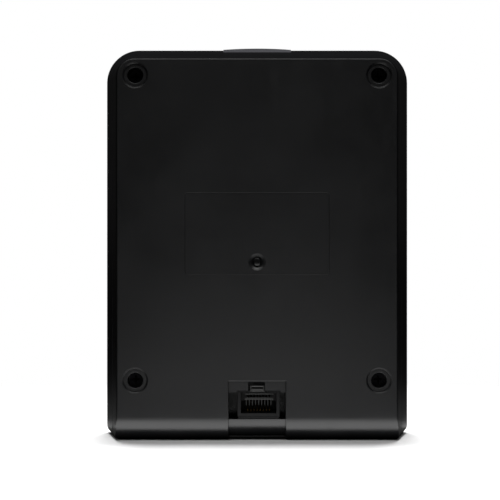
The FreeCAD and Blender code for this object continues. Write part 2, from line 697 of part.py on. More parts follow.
# ---------------------------------------------------------------- display
def lcd_frame():
    """Moulded frame that clamps the display to the front housing, with four screw ears."""
    outer = plate(0, WINDOW_Z, LCD_WIDTH + 2 * LCD_FRAME_WALL, LCD_HEIGHT + 2 * LCD_FRAME_WALL,
                  LCD_FRAME_BACK_DEPTH, LCD_FRONT, WINDOW_CORNER_R)
    ears = [plate(x - math.copysign(BOSS_R / 2, x), z, 3 * BOSS_R, 2 * BOSS_R, LCD_FRAME_BACK_DEPTH,
                  LCD_BACK, WINDOW_CORNER_R) for x, z in LCD_BOSSES]
    frame = fuse([outer] + ears)
    pocket = plate(0, WINDOW_Z, LCD_WIDTH + 2 * FIT, LCD_HEIGHT + 2 * FIT, LCD_BACK, LCD_FRONT, FIT)
    window = plate(0, WINDOW_Z, LCD_WIDTH - 2 * LCD_FRAME_LAP, LCD_HEIGHT - 2 * LCD_FRAME_LAP,
                   LCD_FRAME_BACK_DEPTH, LCD_BACK, WINDOW_CORNER_R)
    holes = [rod(BOARD_SCREW_R, x, z, LCD_FRAME_BACK_DEPTH, LCD_BACK) for x, z in LCD_BOSSES]
    return frame.cut([pocket, window] + holes)


# ---------------------------------------------------------------- keypad
def key_cap(x, z):
    """Key cap with rounded top edges and a flange behind the front wall."""
    cap = plate(x, z, KEY_WIDTH, KEY_HEIGHT, FLANGE_BACK, FRONT + KEY_PROUD, KEY_CORNER_R)
    cap = cap.makeFillet(KEY_EDGE_R, edges_at_depth(cap, FRONT + KEY_PROUD))
    flange = plate(x, z, KEY_WIDTH + 2 * KEY_FLANGE, KEY_HEIGHT + 2 * KEY_FLANGE,
                   FLANGE_BACK, FLANGE_FRONT, KEY_CORNER_R)
    return fuse([cap, flange])


def keypad_half_width():
    """Half width of the keypad board, out past its screws."""
    return SCREW_X + BOARD_EDGE


def keypad_mat():
    """Silicone sheet with a hollow dome and a contact pad under every key."""
    reach_x = (KEY_COLUMNS - 1) / 2 * KEY_PITCH_X + KEY_WIDTH / 2
    low = KEY_LOW_Z - KEY_HEIGHT / 2
    top = KEY_TOP_Z + KEY_HEIGHT / 2
    sheet = plate(0, (low + top) / 2, 2 * reach_x, top - low, MAT_BACK, MAT_FRONT, KEY_CORNER_R)
    domes = [taper(DOME_R, DOME_TOP_R, x, z, MAT_FRONT - FIT, MAT_FRONT + DOME_HEIGHT)
             for x, z in key_places()]
    mat = fuse([sheet] + domes)
    hollows = [taper(DOME_R * 0.7, DOME_TOP_R * 0.6, x, z, MAT_BACK, MAT_FRONT + DOME_HEIGHT / 2)
               for x, z in key_places()]
    return mat.cut(hollows)


def keypad_board():
    """Printed board behind the keys, held by four screws and slipped over two main-board bosses."""
    half = keypad_half_width()
    middle = (KEYPAD_EDGE_LOW_Z + KEYPAD_TOP_Z) / 2
    board = plate(0, middle, 2 * half, KEYPAD_TOP_Z - KEYPAD_EDGE_LOW_Z, KEYPAD_BACK, KEYPAD_FRONT,
                  BOARD_CORNER_R)
    cuts = [rod(POST_R + BOARD_GAP, x, z, 0, BODY_DEPTH) for x, z in CASE_SCREWS]
    cuts += [rod(BOSS_R + SLIP, x, z, 0, BODY_DEPTH) for x, z in MAIN_BOSSES if z < KEYPAD_TOP_Z]
    cuts += [rod(BOARD_SCREW_R, x, z, 0, BODY_DEPTH) for x, z in KEYPAD_BOSSES]
    return board.cut(cuts)


# ---------------------------------------------------------------- fingerprint sensor
def finger_guide():
    """Raised surround that wraps over the top edge and leads a fingertip onto the prism."""
    side_z = TOP + GUIDE_SIDE_TOP_PROUD
    crest_z = TOP + GUIDE_TOP_PROUD
    half = GUIDE_WIDTH / 2
    proud = FRONT + GUIDE_PROUD
    crown = Part.Arc(point(-half, proud, side_z), point(0, proud, crest_z),
                     point(half, proud, side_z)).toShape()
    skirt = Part.LineSegment(point(half, proud, side_z), point(-half, proud, side_z)).toShape()
    crown_face = Part.Face(Part.Wire([crown, skirt]))
    lower_face = Part.Face(guide_wire(0, side_z, proud))
    square_top = block(-half, half, GUIDE_BACK_DEPTH, proud, side_z - LOW_CORNER_R, side_z)
    deep = V(0, GUIDE_BACK_DEPTH, 0)
    outline = fuse([lower_face.extrude(deep + V(0, GUIDE_PROUD, 0)), square_top,
                    crown_face.extrude(deep + V(0, GUIDE_PROUD, 0))])

    guide_back = FRONT - GUIDE_BACK_DEPTH
    back_top = TOP + FLARE * guide_back / BODY_DEPTH
    nose_z = crest_z - GUIDE_NOSE
    slant = GUIDE_NOSE * (1 - math.sqrt(0.5))
    profile = side_profile(half + FIT, [
        (guide_back, back_top), (proud - GUIDE_NOSE, crest_z),
        ((proud - slant, crest_z - slant), (proud, nose_z)),
        (proud, GUIDE_LOW_Z + GUIDE_SLOPE_HEIGHT), (FRONT + GUIDE_FOOT_PROUD, GUIDE_LOW_Z),
        (FRONT_INNER, GUIDE_LOW_Z), (FRONT_INNER, TOP + FLARE - WALL - GUIDE_SKIN / 2),
        (guide_back, back_top - GUIDE_SKIN)])
    guide = outline.common(profile)

    channel_top = TOP - CHANNEL_END_DROP
    axis_depth = proud - CHANNEL_DEPTH + CHANNEL_R
    channel = Part.makeCylinder(CHANNEL_R, channel_top - GUIDE_LOW_Z + FLARE,
                                point(0, axis_depth, GUIDE_LOW_Z - FLARE), V(0, 0, 1))
    channel_end = Part.makeSphere(CHANNEL_R, point(0, axis_depth, channel_top))
    mouth = plate(0, PRISM_Z, PRISM_WIDTH, PRISM_HEIGHT, 0, proud, MOUTH_CORNER_R)
    return guide.cut([channel, channel_end, mouth])


def sensor_prism():
    """Glass prism: the finger rests on its front face, its back is cut at an angle."""
    low = PRISM_Z - PRISM_HEIGHT / 2 + FIT
    top = PRISM_Z + PRISM_HEIGHT / 2 - FIT
    half = PRISM_WIDTH / 2 - FIT
    return side_profile(half, [(PRISM_FRONT, low), (PRISM_FRONT, top),
                               (PRISM_BACK + PRISM_DEPTH / 2, top), (PRISM_BACK, low + PRISM_DEPTH),
                               (PRISM_BACK, low)])


def sensor_housing():
    """Moulded box behind the guide that holds prism, lens and boards, with four ears."""
    body = plate(0, PRISM_Z, SENSOR_WIDTH, SENSOR_HEIGHT, SENSOR_BACK, SENSOR_FRONT, 1.0)
    ears = plate(0, PRISM_Z, 2 * (SENSOR_EAR_X + BOSS_R), 2 * (SENSOR_EAR_Z + BOSS_R),
                 SENSOR_EAR_FRONT - SENSOR_EAR_THICK, SENSOR_EAR_FRONT, BOSS_R * 0.9)
    housing = fuse([body, ears])
    inside = plate(0, PRISM_Z, SENSOR_WIDTH - 2 * SENSOR_WALL, SENSOR_HEIGHT - 2 * SENSOR_WALL,
                   SENSOR_BACK + SENSOR_WALL, SENSOR_FRONT, 1.0)
    lens_hole = rod(LENS_R + FIT, 0, PRISM_Z, SENSOR_BACK, SENSOR_BACK + SENSOR_WALL)
    holes = [rod(BOARD_SCREW_R, x, z, 0, BODY_DEPTH) for x, z in SENSOR_BOSSES]
    return housing.cut([inside, lens_hole] + holes)


def sensor_lens():
    """Lens barrel that images the prism onto the camera chip."""
    barrel = rod(LENS_R, 0, PRISM_Z, SENSOR_BACK, SENSOR_BACK + LENS_LENGTH)
    bowl = rod(LENS_R * 0.6, 0, PRISM_Z, SENSOR_BACK + LENS_LENGTH * 0.7, SENSOR_BACK + LENS_LENGTH)
    return barrel.cut(bowl)


def sensor_board():
    """Board on the back of the sensor housing, with the camera chip in the lens's path."""
    return plate(0, PRISM_Z, SENSOR_WIDTH, SENSOR_HEIGHT, SENSOR_BACK - BOARD_THICK, SENSOR_BACK, 0.8)


def sensor_leds():
    """Row of light-emitting diodes on a strip under the prism."""
    low = PRISM_Z - SENSOR_HEIGHT / 2 + SENSOR_WALL
    depth = PRISM_BACK - 2 * FIT
    strip = block(-PRISM_WIDTH / 2, PRISM_WIDTH / 2, depth - 5, depth - 4, low, low + 6)
    lamps = [block(x - 0.9, x + 0.9, depth - 4, depth - 2.8, low + 2, low + 4)
             for x in (-4.8, -1.6, 1.6, 4.8)]
    return Part.makeCompound([strip] + lamps)


# ---------------------------------------------------------------- main board and what it carries
def main_board():
    """Printed main board, notched round the case posts."""
    half = SCREW_X + BOARD_EDGE
    middle = (BOARD_LOW_Z + MAIN_TOP_Z) / 2
    board = plate(0, middle, 2 * half, MAIN_TOP_Z - BOARD_LOW_Z, MAIN_BACK, MAIN_FRONT, BOARD_CORNER_R)
    cuts = [rod(POST_R + BOARD_GAP, x, z, 0, BODY_DEPTH) for x, z in CASE_SCREWS]
    cuts += [rod(BOARD_SCREW_R, x, z, 0, BODY_DEPTH) for x, z in MAIN_BOSSES]
    return board.cut(cuts)


def chip(x, z, width, height, thick, back=True):
    """Chip package on the back or the front side of the main board."""
    if back:
        return plate(x, z, width, height, MAIN_BACK - thick, MAIN_BACK, 0.3)
    return plate(x, z, width, height, MAIN_FRONT, MAIN_FRONT + thick, 0.3)


def capacitors():
    """Three electrolytic cans on the back of the main board."""
    cans = []
    for x, z, radius, height in ((24.0, 12.0, 4.0, 10.0), (24.0, 22.0, 3.15, 7.7), (14.5, 12.0, 3.15, 7.7)):
        cans.append(rod(radius, x, z, MAIN_BACK - height, MAIN_BACK))
    return Part.makeCompound(cans)


def power_inductor():
    """Shielded coil of the power supply."""
    core = plate(-24.0, 14.0, 10.0, 10.0, MAIN_BACK - 4.5, MAIN_BACK, 2.0)
    ring = rod(4.4, -24.0, 14.0, MAIN_BACK - 4.5, MAIN_BACK - 4.0).cut(
        rod(2.6, -24.0, 14.0, MAIN_BACK - 4.5, MAIN_BACK - 4.0))
    return core.cut(ring)


CELL_X = -24.0
CELL_Z = 76.0
CELL_R = 10.0
CELL_THICK = 3.2
HOLDER_FLOOR = 1.2


def battery_holder():
    """Round tray for the clock's coin cell."""
    tray = rod(CELL_R + 1.6, CELL_X, CELL_Z, MAIN_BACK - HOLDER_FLOOR - CELL_THICK, MAIN_BACK)
    pocket = rod(CELL_R + SLIP, CELL_X, CELL_Z, 0, MAIN_BACK - HOLDER_FLOOR)
    gap = block(CELL_X - 4, CELL_X + 4, 0, MAIN_BACK - HOLDER_FLOOR, CELL_Z, CELL_Z + 2 * CELL_R)
    return tray.cut([pocket, gap])


def coin_cell():
    """Coin cell with its narrower negative face."""
    middle = MAIN_BACK - HOLDER_FLOOR - CELL_THICK * 0.3
    can = rod(CELL_R, CELL_X, CELL_Z, MAIN_BACK - HOLDER_FLOOR - CELL_THICK, middle)
    cap = rod(CELL_R * 0.88, CELL_X, CELL_Z, middle, MAIN_BACK - HOLDER_FLOOR)
    return fuse([can, cap])


CONNECTOR_HEIGHT = 2.6
CONNECTOR_BODY = 4.4
LCD_PLUG_Z = 62.0
KEYPAD_PLUG_Z = 30.0
SENSOR_PLUG_Z_DROP = 6.0
SPEAKER_PLUG_X = -30.0


def board_connectors():
    """Flat-cable sockets on the front of the main board and the speaker's socket on its back."""
    sensor_z = MAIN_TOP_Z - SENSOR_PLUG_Z_DROP
    sockets = [chip(0, LCD_PLUG_Z, 24.0, CONNECTOR_BODY, CONNECTOR_HEIGHT, back=False),
               chip(0, KEYPAD_PLUG_Z, 18.0, CONNECTOR_BODY, CONNECTOR_HEIGHT, back=False),
               chip(10.0, sensor_z, 14.0, CONNECTOR_BODY, CONNECTOR_HEIGHT),
               chip(SPEAKER_PLUG_X, MAIN_TOP_Z - 3.4, 6.0, CONNECTOR_BODY, 4.0)]
    return Part.makeCompound(sockets)


FLEX_THICK = 0.3
FLEX_BEND_R = 0.9


def lcd_flex():
    """Flex cable from the back of the display to the main board."""
    near_lcd = LCD_FRAME_BACK_DEPTH - FIT - FLEX_THICK
    near_board = MAIN_FRONT + CONNECTOR_HEIGHT / 2
    start = LCD_PLUG_Z + CONNECTOR_BODY / 2
    return ribbon(0, 20.0, FLEX_THICK, FLEX_BEND_R,
                  [(near_board, start), (near_board, start + 9), (near_lcd, start + 9), (near_lcd, start)])


def keypad_flex():
    """Flex cable from the keypad board to the main board."""
    near_board = MAIN_FRONT + CONNECTOR_HEIGHT / 2
    near_keypad = KEYPAD_BACK - FLEX_THICK
    start = KEYPAD_PLUG_Z + CONNECTOR_BODY / 2
    return ribbon(0, 14.0, FLEX_THICK, FLEX_BEND_R,
                  [(near_board, start), (near_board, start + 6), (near_keypad, start + 6),
                   (near_keypad, start)])


def sensor_flex():
    """Flex cable from the sensor board down to the main board."""
    near_sensor = SENSOR_BACK - BOARD_THICK - FLEX_THICK
    near_board = MAIN_BACK - CONNECTOR_HEIGHT / 2
    sensor_z = MAIN_TOP_Z - SENSOR_PLUG_Z_DROP + CONNECTOR_BODY / 2
    return ribbon(6.0, 10.0, FLEX_THICK, FLEX_BEND_R,
                  [(near_sensor, PRISM_Z), (near_sensor, sensor_z + 3), (near_board, sensor_z + 3),
                   (near_board, sensor_z)])


# ---------------------------------------------------------------- speaker and indicators
def speaker():
    """Small round speaker with its magnet and a dished cone."""
    frame = rod(SPEAKER_R, -SIDE_ZONE_X, SIDE_ZONE_Z, SPEAKER_FRONT - SPEAKER_THICK / 2, SPEAKER_FRONT)
    magnet = rod(SPEAKER_R * 0.55, -SIDE_ZONE_X, SIDE_ZONE_Z, SPEAKER_FRONT - SPEAKER_THICK, SPEAKER_FRONT)
    dish = taper(SPEAKER_R * 0.3, SPEAKER_R * 0.85, -SIDE_ZONE_X, SIDE_ZONE_Z,
                 SPEAKER_FRONT - SPEAKER_THICK / 4, SPEAKER_FRONT)
    return fuse([frame, magnet]).cut(dish)


def speaker_mesh():
    """Thin acoustic mesh stuck over the slots, inside the speaker's ring."""
    return rod(SPEAKER_R - FIT, -SIDE_ZONE_X, SIDE_ZONE_Z, FRONT_INNER - 2 * FIT, FRONT_INNER)


def speaker_leads():
    """Two insulated wires from the speaker to the main board."""
    back = SPEAKER_FRONT - SPEAKER_THICK / 2
    plug_depth = MAIN_BACK - 2.0
    plug_z = MAIN_TOP_Z - 3.4 + CONNECTOR_BODY / 2
    wires = []
    for offset in (-1.0, 1.0):
        x = SPEAKER_PLUG_X + offset
        wires.append(lead([point(x, back, SIDE_ZONE_Z - SPEAKER_R * 0.7),
                           point(x, plug_depth, SIDE_ZONE_Z - SPEAKER_R * 0.7),
                           point(x, plug_depth, plug_z)], 0.45, 2.0))
    return Part.makeCompound(wires)


def light_pipes():
    """Two clear pins that carry light to the front face."""
    pins = []
    for x in light_places():
        pin = rod(LIGHT_R, x, SIDE_ZONE_Z, FRONT - LIGHT_PIPE_LENGTH, FRONT)
        rim = rod(LIGHT_R + 0.8, x, SIDE_ZONE_Z, FRONT_INNER - 1.0, FRONT_INNER - FIT)
        pins.append(fuse([pin, rim]))
    return Part.makeCompound(pins)


INDICATOR_LAMP = 1.2


def indicator_board():
    """Small board behind the light pipes."""
    front = FRONT - LIGHT_PIPE_LENGTH - INDICATOR_LAMP - FIT
    return plate(SIDE_ZONE_X, SIDE_ZONE_Z, 2 * LIGHT_SPACING, 9.0, front - BOARD_THICK, front, 1.0)


def indicator_leds():
    """One lamp behind each light pipe."""
    front = FRONT - LIGHT_PIPE_LENGTH - FIT
    return Part.makeCompound([block(x - 1.4, x + 1.4, front - INDICATOR_LAMP, front,
                                    SIDE_ZONE_Z - 1.0, SIDE_ZONE_Z + 1.0) for x in light_places()])


# ---------------------------------------------------------------- the whole terminal
KEY_NAMES = ["key_1", "key_2", "key_3", "key_cancel",
             "key_4", "key_5", "key_6", "key_menu",
             "key_7", "key_8", "key_9", "key_up",
             "key_bell", "key_0", "key_ok", "key_down"]


def screw_set(places, seat, length=BOARD_SCREW_LENGTH):
    """Small screws, all alike, that hold one board or frame."""
    return screws(places, seat, BOARD_SCREW_R, length, BOARD_SCREW_HEAD_R, BOARD_SCREW_HEAD)


def all_parts():
    """Every sub-part by name."""
    window_back = FRONT - WINDOW_SINK - WINDOW_THICK
    parts = {
        "rear_cover": rear_cover(),
        "front_housing": front_housing(),
        "case_screws": screws(CASE_SCREWS, WELL_DEPTH, CASE_SCREW_R, CASE_SCREW_LENGTH,
                              CASE_SCREW_HEAD_R, CASE_SCREW_HEAD),
        "display_window": plate(0, WINDOW_Z, WINDOW_WIDTH, WINDOW_HEIGHT, window_back,
                                FRONT - WINDOW_SINK, WINDOW_CORNER_R),
        "lcd_panel": plate(0, WINDOW_Z, LCD_WIDTH - 2 * LCD_GLASS_INSET, LCD_HEIGHT - 2 * LCD_GLASS_INSET,
                           LCD_MIDDLE, LCD_FRONT, 0.3),
        "lcd_backlight": plate(0, WINDOW_Z, LCD_WIDTH, LCD_HEIGHT, LCD_BACK, LCD_MIDDLE, 0.5),
        "lcd_frame": lcd_frame(),
        "lcd_screws": screw_set(LCD_BOSSES, LCD_FRAME_BACK_DEPTH, LCD_SCREW_LENGTH),
        "lcd_flex": lcd_flex(),
        "keypad_mat": keypad_mat(),
        "keypad_board": keypad_board(),
        "keypad_screws": screw_set(KEYPAD_BOSSES, KEYPAD_BACK),
        "keypad_flex": keypad_flex(),
        "finger_guide": finger_guide(),
        "sensor_prism": sensor_prism(),
        "sensor_housing": sensor_housing(),
        "sensor_lens": sensor_lens(),
        "sensor_board": sensor_board(),
        "sensor_leds": sensor_leds(),
        "sensor_screws": screw_set(SENSOR_BOSSES, SENSOR_EAR_FRONT - SENSOR_EAR_THICK),
        "sensor_flex": sensor_flex(),
        "main_board": main_board(),
        "main_board_screws": screw_set(MAIN_BOSSES, MAIN_BACK),
        "rj45_jack": jack(),
        "rj45_contacts": contacts(),
        "rj45_comb": comb(),
        "tamper_plunger": tamper_plunger(),
        "tamper_spring": tamper_spring(),
        "tamper_switch": tamper_switch(),
        "processor": chip(16.0, 76.0, 17.0, 17.0, 1.6),
        "memory_chips": Part.makeCompound([chip(32.0, z, 9.0, 12.0, 1.1) for z in (69.0, 83.0)]),
        "network_transformer": chip(-0.5, 31.0, 16.0, 10.0, 5.6),
        "capacitors": capacitors(),
        "power_inductor": power_inductor(),
        "board_connectors": board_connectors(),
        "battery_holder": battery_holder(),
        "coin_cell": coin_cell(),
        "speaker": speaker(),
        "speaker_mesh": speaker_mesh(),
        "speaker_leads": speaker_leads(),
        "light_pipes": light_pipes(),
        "indicator_board": indicator_board(),
        "indicator_leds": indicator_leds(),
    }
    for name, (x, z) in zip(KEY_NAMES, key_places()):
        parts[name] = key_cap(x, z)
    return parts


os.makedirs("parts", exist_ok=True)
for part_name, shape in all_parts().items():
    for solid in shape.Solids:
        if not solid.isValid():
            print("not valid:", part_name)
    print(part_name, len(shape.Solids), "solids,", round(shape.Volume, 1), "mm3")
    shape.exportStep("parts/" + part_name + ".step")
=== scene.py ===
"""Fingerprint scanner terminal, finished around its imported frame.

Metres. +Z is up, the display and keys face -Y, the back with the network jack faces +Y.
"""

import math
import random

import bmesh
import bpy
from mathutils import Matrix, Vector


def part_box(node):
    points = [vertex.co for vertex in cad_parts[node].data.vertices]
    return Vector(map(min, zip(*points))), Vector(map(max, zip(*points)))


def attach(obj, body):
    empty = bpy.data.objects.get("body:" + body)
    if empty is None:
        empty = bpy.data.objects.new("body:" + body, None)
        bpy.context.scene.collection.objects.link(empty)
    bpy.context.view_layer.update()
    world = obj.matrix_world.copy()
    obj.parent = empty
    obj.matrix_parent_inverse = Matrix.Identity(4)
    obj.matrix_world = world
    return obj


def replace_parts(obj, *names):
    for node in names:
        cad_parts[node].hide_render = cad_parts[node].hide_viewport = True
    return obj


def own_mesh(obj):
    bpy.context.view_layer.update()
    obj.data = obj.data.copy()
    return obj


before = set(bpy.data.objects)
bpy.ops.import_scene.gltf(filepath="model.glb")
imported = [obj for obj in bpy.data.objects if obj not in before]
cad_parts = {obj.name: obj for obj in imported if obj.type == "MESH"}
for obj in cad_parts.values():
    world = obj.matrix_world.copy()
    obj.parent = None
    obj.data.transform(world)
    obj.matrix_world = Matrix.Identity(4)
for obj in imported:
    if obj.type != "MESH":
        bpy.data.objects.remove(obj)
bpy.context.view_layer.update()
MM = 0.001

# ---------------------------------------------------------------- case mouldings
# The rear cover and the front housing are injection moulded in black ABS. The tool is spark eroded,
# so the skin is satin with a fine, even grain, and handling leaves faint duller patches and hairlines.


class Value:
    """A socket that carries a number; Python arithmetic on it adds Math nodes."""

    def __init__(self, finish, socket):
        self.finish = finish
        self.socket = socket

    def math(self, operation, *others):
        return self.finish.node("ShaderNodeMath", {"operation": operation}, [self, *others])

    def __add__(self, other):
        return self.math("ADD", other)

    def __sub__(self, other):
        return self.math("SUBTRACT", other)

    def __rsub__(self, other):
        return self.finish.node("ShaderNodeMath", {"operation": "SUBTRACT"}, [other, self])

    def __mul__(self, other):
        return self.math("MULTIPLY", other)

    def __gt__(self, other):
        return self.math("GREATER_THAN", other)

    def __lt__(self, other):
        return self.math("LESS_THAN", other)

    __radd__ = __add__


class Finish:
    """A material under construction, with its nodes and its principled shader."""

    def __init__(self, name, color, roughness, metallic=0.0, **sockets):
        self.material = bpy.data.materials.new(name)
        self.material.use_nodes = True
        self.tree = self.material.node_tree
        self.shader = self.tree.nodes["Principled BSDF"]
        self.set("Base Color", (*color, 1.0))
        self.set("Roughness", roughness)
        self.set("Metallic", metallic)
        for socket, value in sockets.items():
            self.set(socket.replace("_", " "), value)
        self.place = self.node("ShaderNodeTexCoord", output="Object")

    def set(self, socket, value):
        """Puts a number, a colour or a Value on one of the shader's sockets."""
        self.join(self.shader.inputs[socket], value)

    def join(self, target, value):
        if isinstance(value, Value):
            self.tree.links.new(value.socket, target)
        elif target.type == "RGBA" and len(value) == 3:
            target.default_value = (*value, 1.0)
        else:
            target.default_value = value

    def node(self, kind, settings=None, inputs=(), output=0):
        """Adds a node: its settings first, then values or links by socket name or in order."""
        node = self.tree.nodes.new(kind)
        for name, value in (settings or {}).items():
            setattr(node, name, value)
        pairs = inputs.items() if isinstance(inputs, dict) else enumerate(inputs)
        for key, value in pairs:
            self.join(node.inputs[key], value)
        return Value(self, node.outputs[output])

    def axes(self):
        """The three coordinates of the place that is shaded."""
        return [self.node("ShaderNodeSeparateXYZ", inputs=[self.place], output=axis) for axis in range(3)]

    def noise(self, per_metre, detail=2.0, rough=0.5, stretch=None):
        """Noise whose grain is 1 / per_metre long; stretch scales it along X, Y and Z."""
        place = self.place
        if stretch:
            place = self.node("ShaderNodeMapping", inputs={"Vector": place, "Scale": stretch})
        return self.node("ShaderNodeTexNoise",
                         inputs={"Vector": place, "Scale": per_metre, "Detail": detail, "Roughness": rough})

    def spread(self, value, low, high, to_low=0.0, to_high=1.0):
        """Maps a range of a value onto another, clamped."""
        return self.node("ShaderNodeMapRange", {"clamp": True}, [value, low, high, to_low, to_high])

    def mix(self, factor, first, second):
        """Mixes two colours."""
        return self.node("ShaderNodeMix", {"data_type": "RGBA"},
                         {"Factor": factor, 6: first, 7: second}, output=2)

    def bump(self, height, distance, strength):
        """Turns a height into a surface normal."""
        return self.node("ShaderNodeBump",
                         inputs={"Strength": strength, "Distance": distance, "Height": height})


def paint(node, finish):
    """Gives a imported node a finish."""
    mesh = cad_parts[node].data
    mesh.materials.clear()
    mesh.materials.append(finish.material)


def corners(node):
    """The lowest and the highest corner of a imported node, in millimetres."""
    return [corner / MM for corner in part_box(node)]


def moulded_plastic(name, dark, light, roughness, grain=0.19, depth=0.05, strength=0.3, **sockets):
    """A moulded skin: slow colour drift, fine grain of a size in millimetres, handled patches."""
    skin = Finish(name, dark, roughness, **sockets)
    drift = skin.noise(45.0, detail=4.0, rough=0.6)
    rub = skin.noise(120.0, detail=5.0, rough=0.7)
    spark = skin.noise(1000.0 / grain, detail=3.0, rough=0.6)
    skin.set("Base Color", skin.mix(skin.spread(drift, 0.35, 0.68), dark, light))
    skin.set("Roughness", roughness + skin.spread(drift, 0.3, 0.7, -0.03, 0.03)
             + skin.spread(rub, 0.55, 0.75, 0.0, 0.07))
    skin.set("Normal", skin.bump(spark, depth * MM, strength))
    return skin


case = Finish("case_abs_spark_textured", (0.005, 0.005, 0.0055), 0.33, Specular_IOR_Level=0.5)
grain = case.noise(5200.0, detail=3.0, rough=0.6)
pores = case.noise(14000.0, detail=2.0)
cloud = case.noise(38.0, detail=4.0, rough=0.6)
rub = case.noise(90.0, detail=6.0, rough=0.7, stretch=(1.0, 1.0, 0.25))
case.set("Base Color", case.mix(case.spread(cloud, 0.35, 0.7),
                                (0.0027, 0.0028, 0.0032), (0.0040, 0.0041, 0.0046)))
case.set("Roughness", 0.34 + case.spread(cloud, 0.3, 0.7, -0.03, 0.05)
         + case.spread(rub, 0.58, 0.75, 0.0, 0.07))
case.set("Normal", case.bump(grain * 0.7 + pores * 0.3, 0.00006, 0.35))
for name in ("rear_cover", "front_housing"):
    paint(name, case)

# ---------------------------------------------------------------- screws
# Four long black-oxide screws clamp the case from the bottom of deep wells in the back. The short
# ones that hold the boards, the keypad, the display and the sensor are cold formed, zinc plated steel.


def plated_metal(name, dark, light, roughness):
    """Plated metal: blotches in the plating, fine drawing marks and a few bright scuffs."""
    metal = Finish(name, dark, roughness, 1.0)
    blotch = metal.noise(420.0, detail=5.0, rough=0.65)
    marks = metal.noise(2600.0, detail=3.0, stretch=(1.0, 0.12, 1.0))
    scuff = metal.spread(metal.noise(900.0, detail=6.0, rough=0.75), 0.6, 0.72)
    metal.set("Base Color", metal.mix(metal.spread(blotch, 0.35, 0.68), dark, light))
    metal.set("Roughness", roughness + metal.spread(blotch, 0.3, 0.7, -0.05, 0.08) + scuff * -0.08)
    metal.set("Normal", metal.bump(marks, 0.00002, 0.5))
    return metal


SCREW_X = 0.040
SCREW_MIDDLE_Z = 0.070
SCREW_REACH_Z = 0.050
SLOT_HALF_WIDTH = 0.00032
SLOT_HALF_LENGTH = 0.0012
oxide = plated_metal("screw_black_oxide", (0.006, 0.006, 0.007), (0.012, 0.012, 0.012), 0.42)
column, _, row = oxide.axes()
# The cross recess in each case screw's head is not cut. A near-black cross is painted on the head instead,
# as painted shade of the recess.
across = (column.math("ABSOLUTE") - SCREW_X).math("ABSOLUTE")
along = ((row - SCREW_MIDDLE_Z).math("ABSOLUTE") - SCREW_REACH_Z).math("ABSOLUTE")
slots = (across < SLOT_HALF_WIDTH).math("MAXIMUM", along < SLOT_HALF_WIDTH)
cross_recess_shade = slots * (across < SLOT_HALF_LENGTH) * (along < SLOT_HALF_LENGTH)
oxide.set("Base Color", oxide.mix(cross_recess_shade, (0.009, 0.009, 0.010), (0.001, 0.001, 0.001)))
paint("case_screws", oxide)
zinc = plated_metal("screw_zinc_plated", (0.50, 0.50, 0.48), (0.66, 0.65, 0.62), 0.28)
for name in ("main_board_screws", "keypad_screws", "lcd_screws", "sensor_screws"):
    paint(name, zinc)

# ---------------------------------------------------------------- network jack
# An unshielded modular jack in black glass-filled nylon, latch side up, soldered to the main board.
# Eight gold-plated spring wires rise from its floor to a grey comb that keeps them apart. Their gold is
# painted far darker than real plating, as painted shade of the unlit inside of the jack.
nylon = moulded_plastic("jack_glass_filled_nylon", (0.0035, 0.0035, 0.0038), (0.0055, 0.0055, 0.0058),
                        0.48, grain=0.10, depth=0.03, strength=0.35, Specular_IOR_Level=0.2)
paint("rj45_jack", nylon)
comb_plastic = moulded_plastic("comb_grey_plastic", (0.015, 0.015, 0.014), (0.022, 0.022, 0.021),
                               0.40, grain=0.08, depth=0.02, strength=0.25)
paint("rj45_comb", comb_plastic)
# Gold painted nearly black: painted shade inside the jack, not the plating's own colour.
gold_darkened_as_shade = plated_metal("contact_gold_darkened_as_shade", (0.055, 0.034, 0.012), (0.095, 0.062, 0.024), 0.45)
paint("rj45_contacts", gold_darkened_as_shade)

JACK_MIDDLE_X = -0.5
COMB_FACE_Y = 13.6
COMB_PITCH = 1.016
COMB_TEETH = 9
GUARD_LEFT = -5.45
GUARD_RIGHT = 4.10


def add_block(shape, low, high, soften=0.0):
    """Adds a closed block between two corners in millimetres, with its edges softened."""
    place = Matrix.Translation((Vector(low) + Vector(high)) / 2)
    size = Matrix.Diagonal((*(Vector(high) - Vector(low)), 1.0))
    made = bmesh.ops.create_cube(shape, size=1.0, matrix=place @ size)["verts"]
    if soften:
        edges = list({edge for vert in made for edge in vert.link_edges})
        bmesh.ops.bevel(shape, geom=edges, offset=soften, affect="EDGES", segments=2,
                        profile=0.5, material=-1)


def settle(shape, name, finish, body):
    """Closes a bmesh drawn in millimetres into a piece that rides on a body."""
    bmesh.ops.scale(shape, vec=(MM, MM, MM), verts=shape.verts)
    bmesh.ops.recalc_face_normals(shape, faces=shape.faces)
    mesh = bpy.data.meshes.new(name)
    shape.to_mesh(mesh)
    shape.free()
    mesh.materials.append(finish.material)
    piece = bpy.data.objects.new(name, mesh)
    bpy.context.scene.collection.objects.link(piece)
    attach(piece, body)
    return piece


guard = bmesh.new()
add_block(guard, (GUARD_LEFT, COMB_FACE_Y - 0.9, 15.05), (GUARD_RIGHT, COMB_FACE_Y - 0.3, 15.45), 0.12)
add_block(guard, (GUARD_LEFT, COMB_FACE_Y - 1.1, 13.30), (GUARD_RIGHT, COMB_FACE_Y - 0.2, 14.10), 0.12)
for count in range(COMB_TEETH):
    x = JACK_MIDDLE_X + (count - (COMB_TEETH - 1) / 2) * COMB_PITCH
    add_block(guard, (x - 0.17, COMB_FACE_Y - 1.0, 11.5), (x + 0.17, COMB_FACE_Y - 0.35, 13.4), 0.06)
settle(guard, "jack_wire_guard", comb_plastic, "housing")

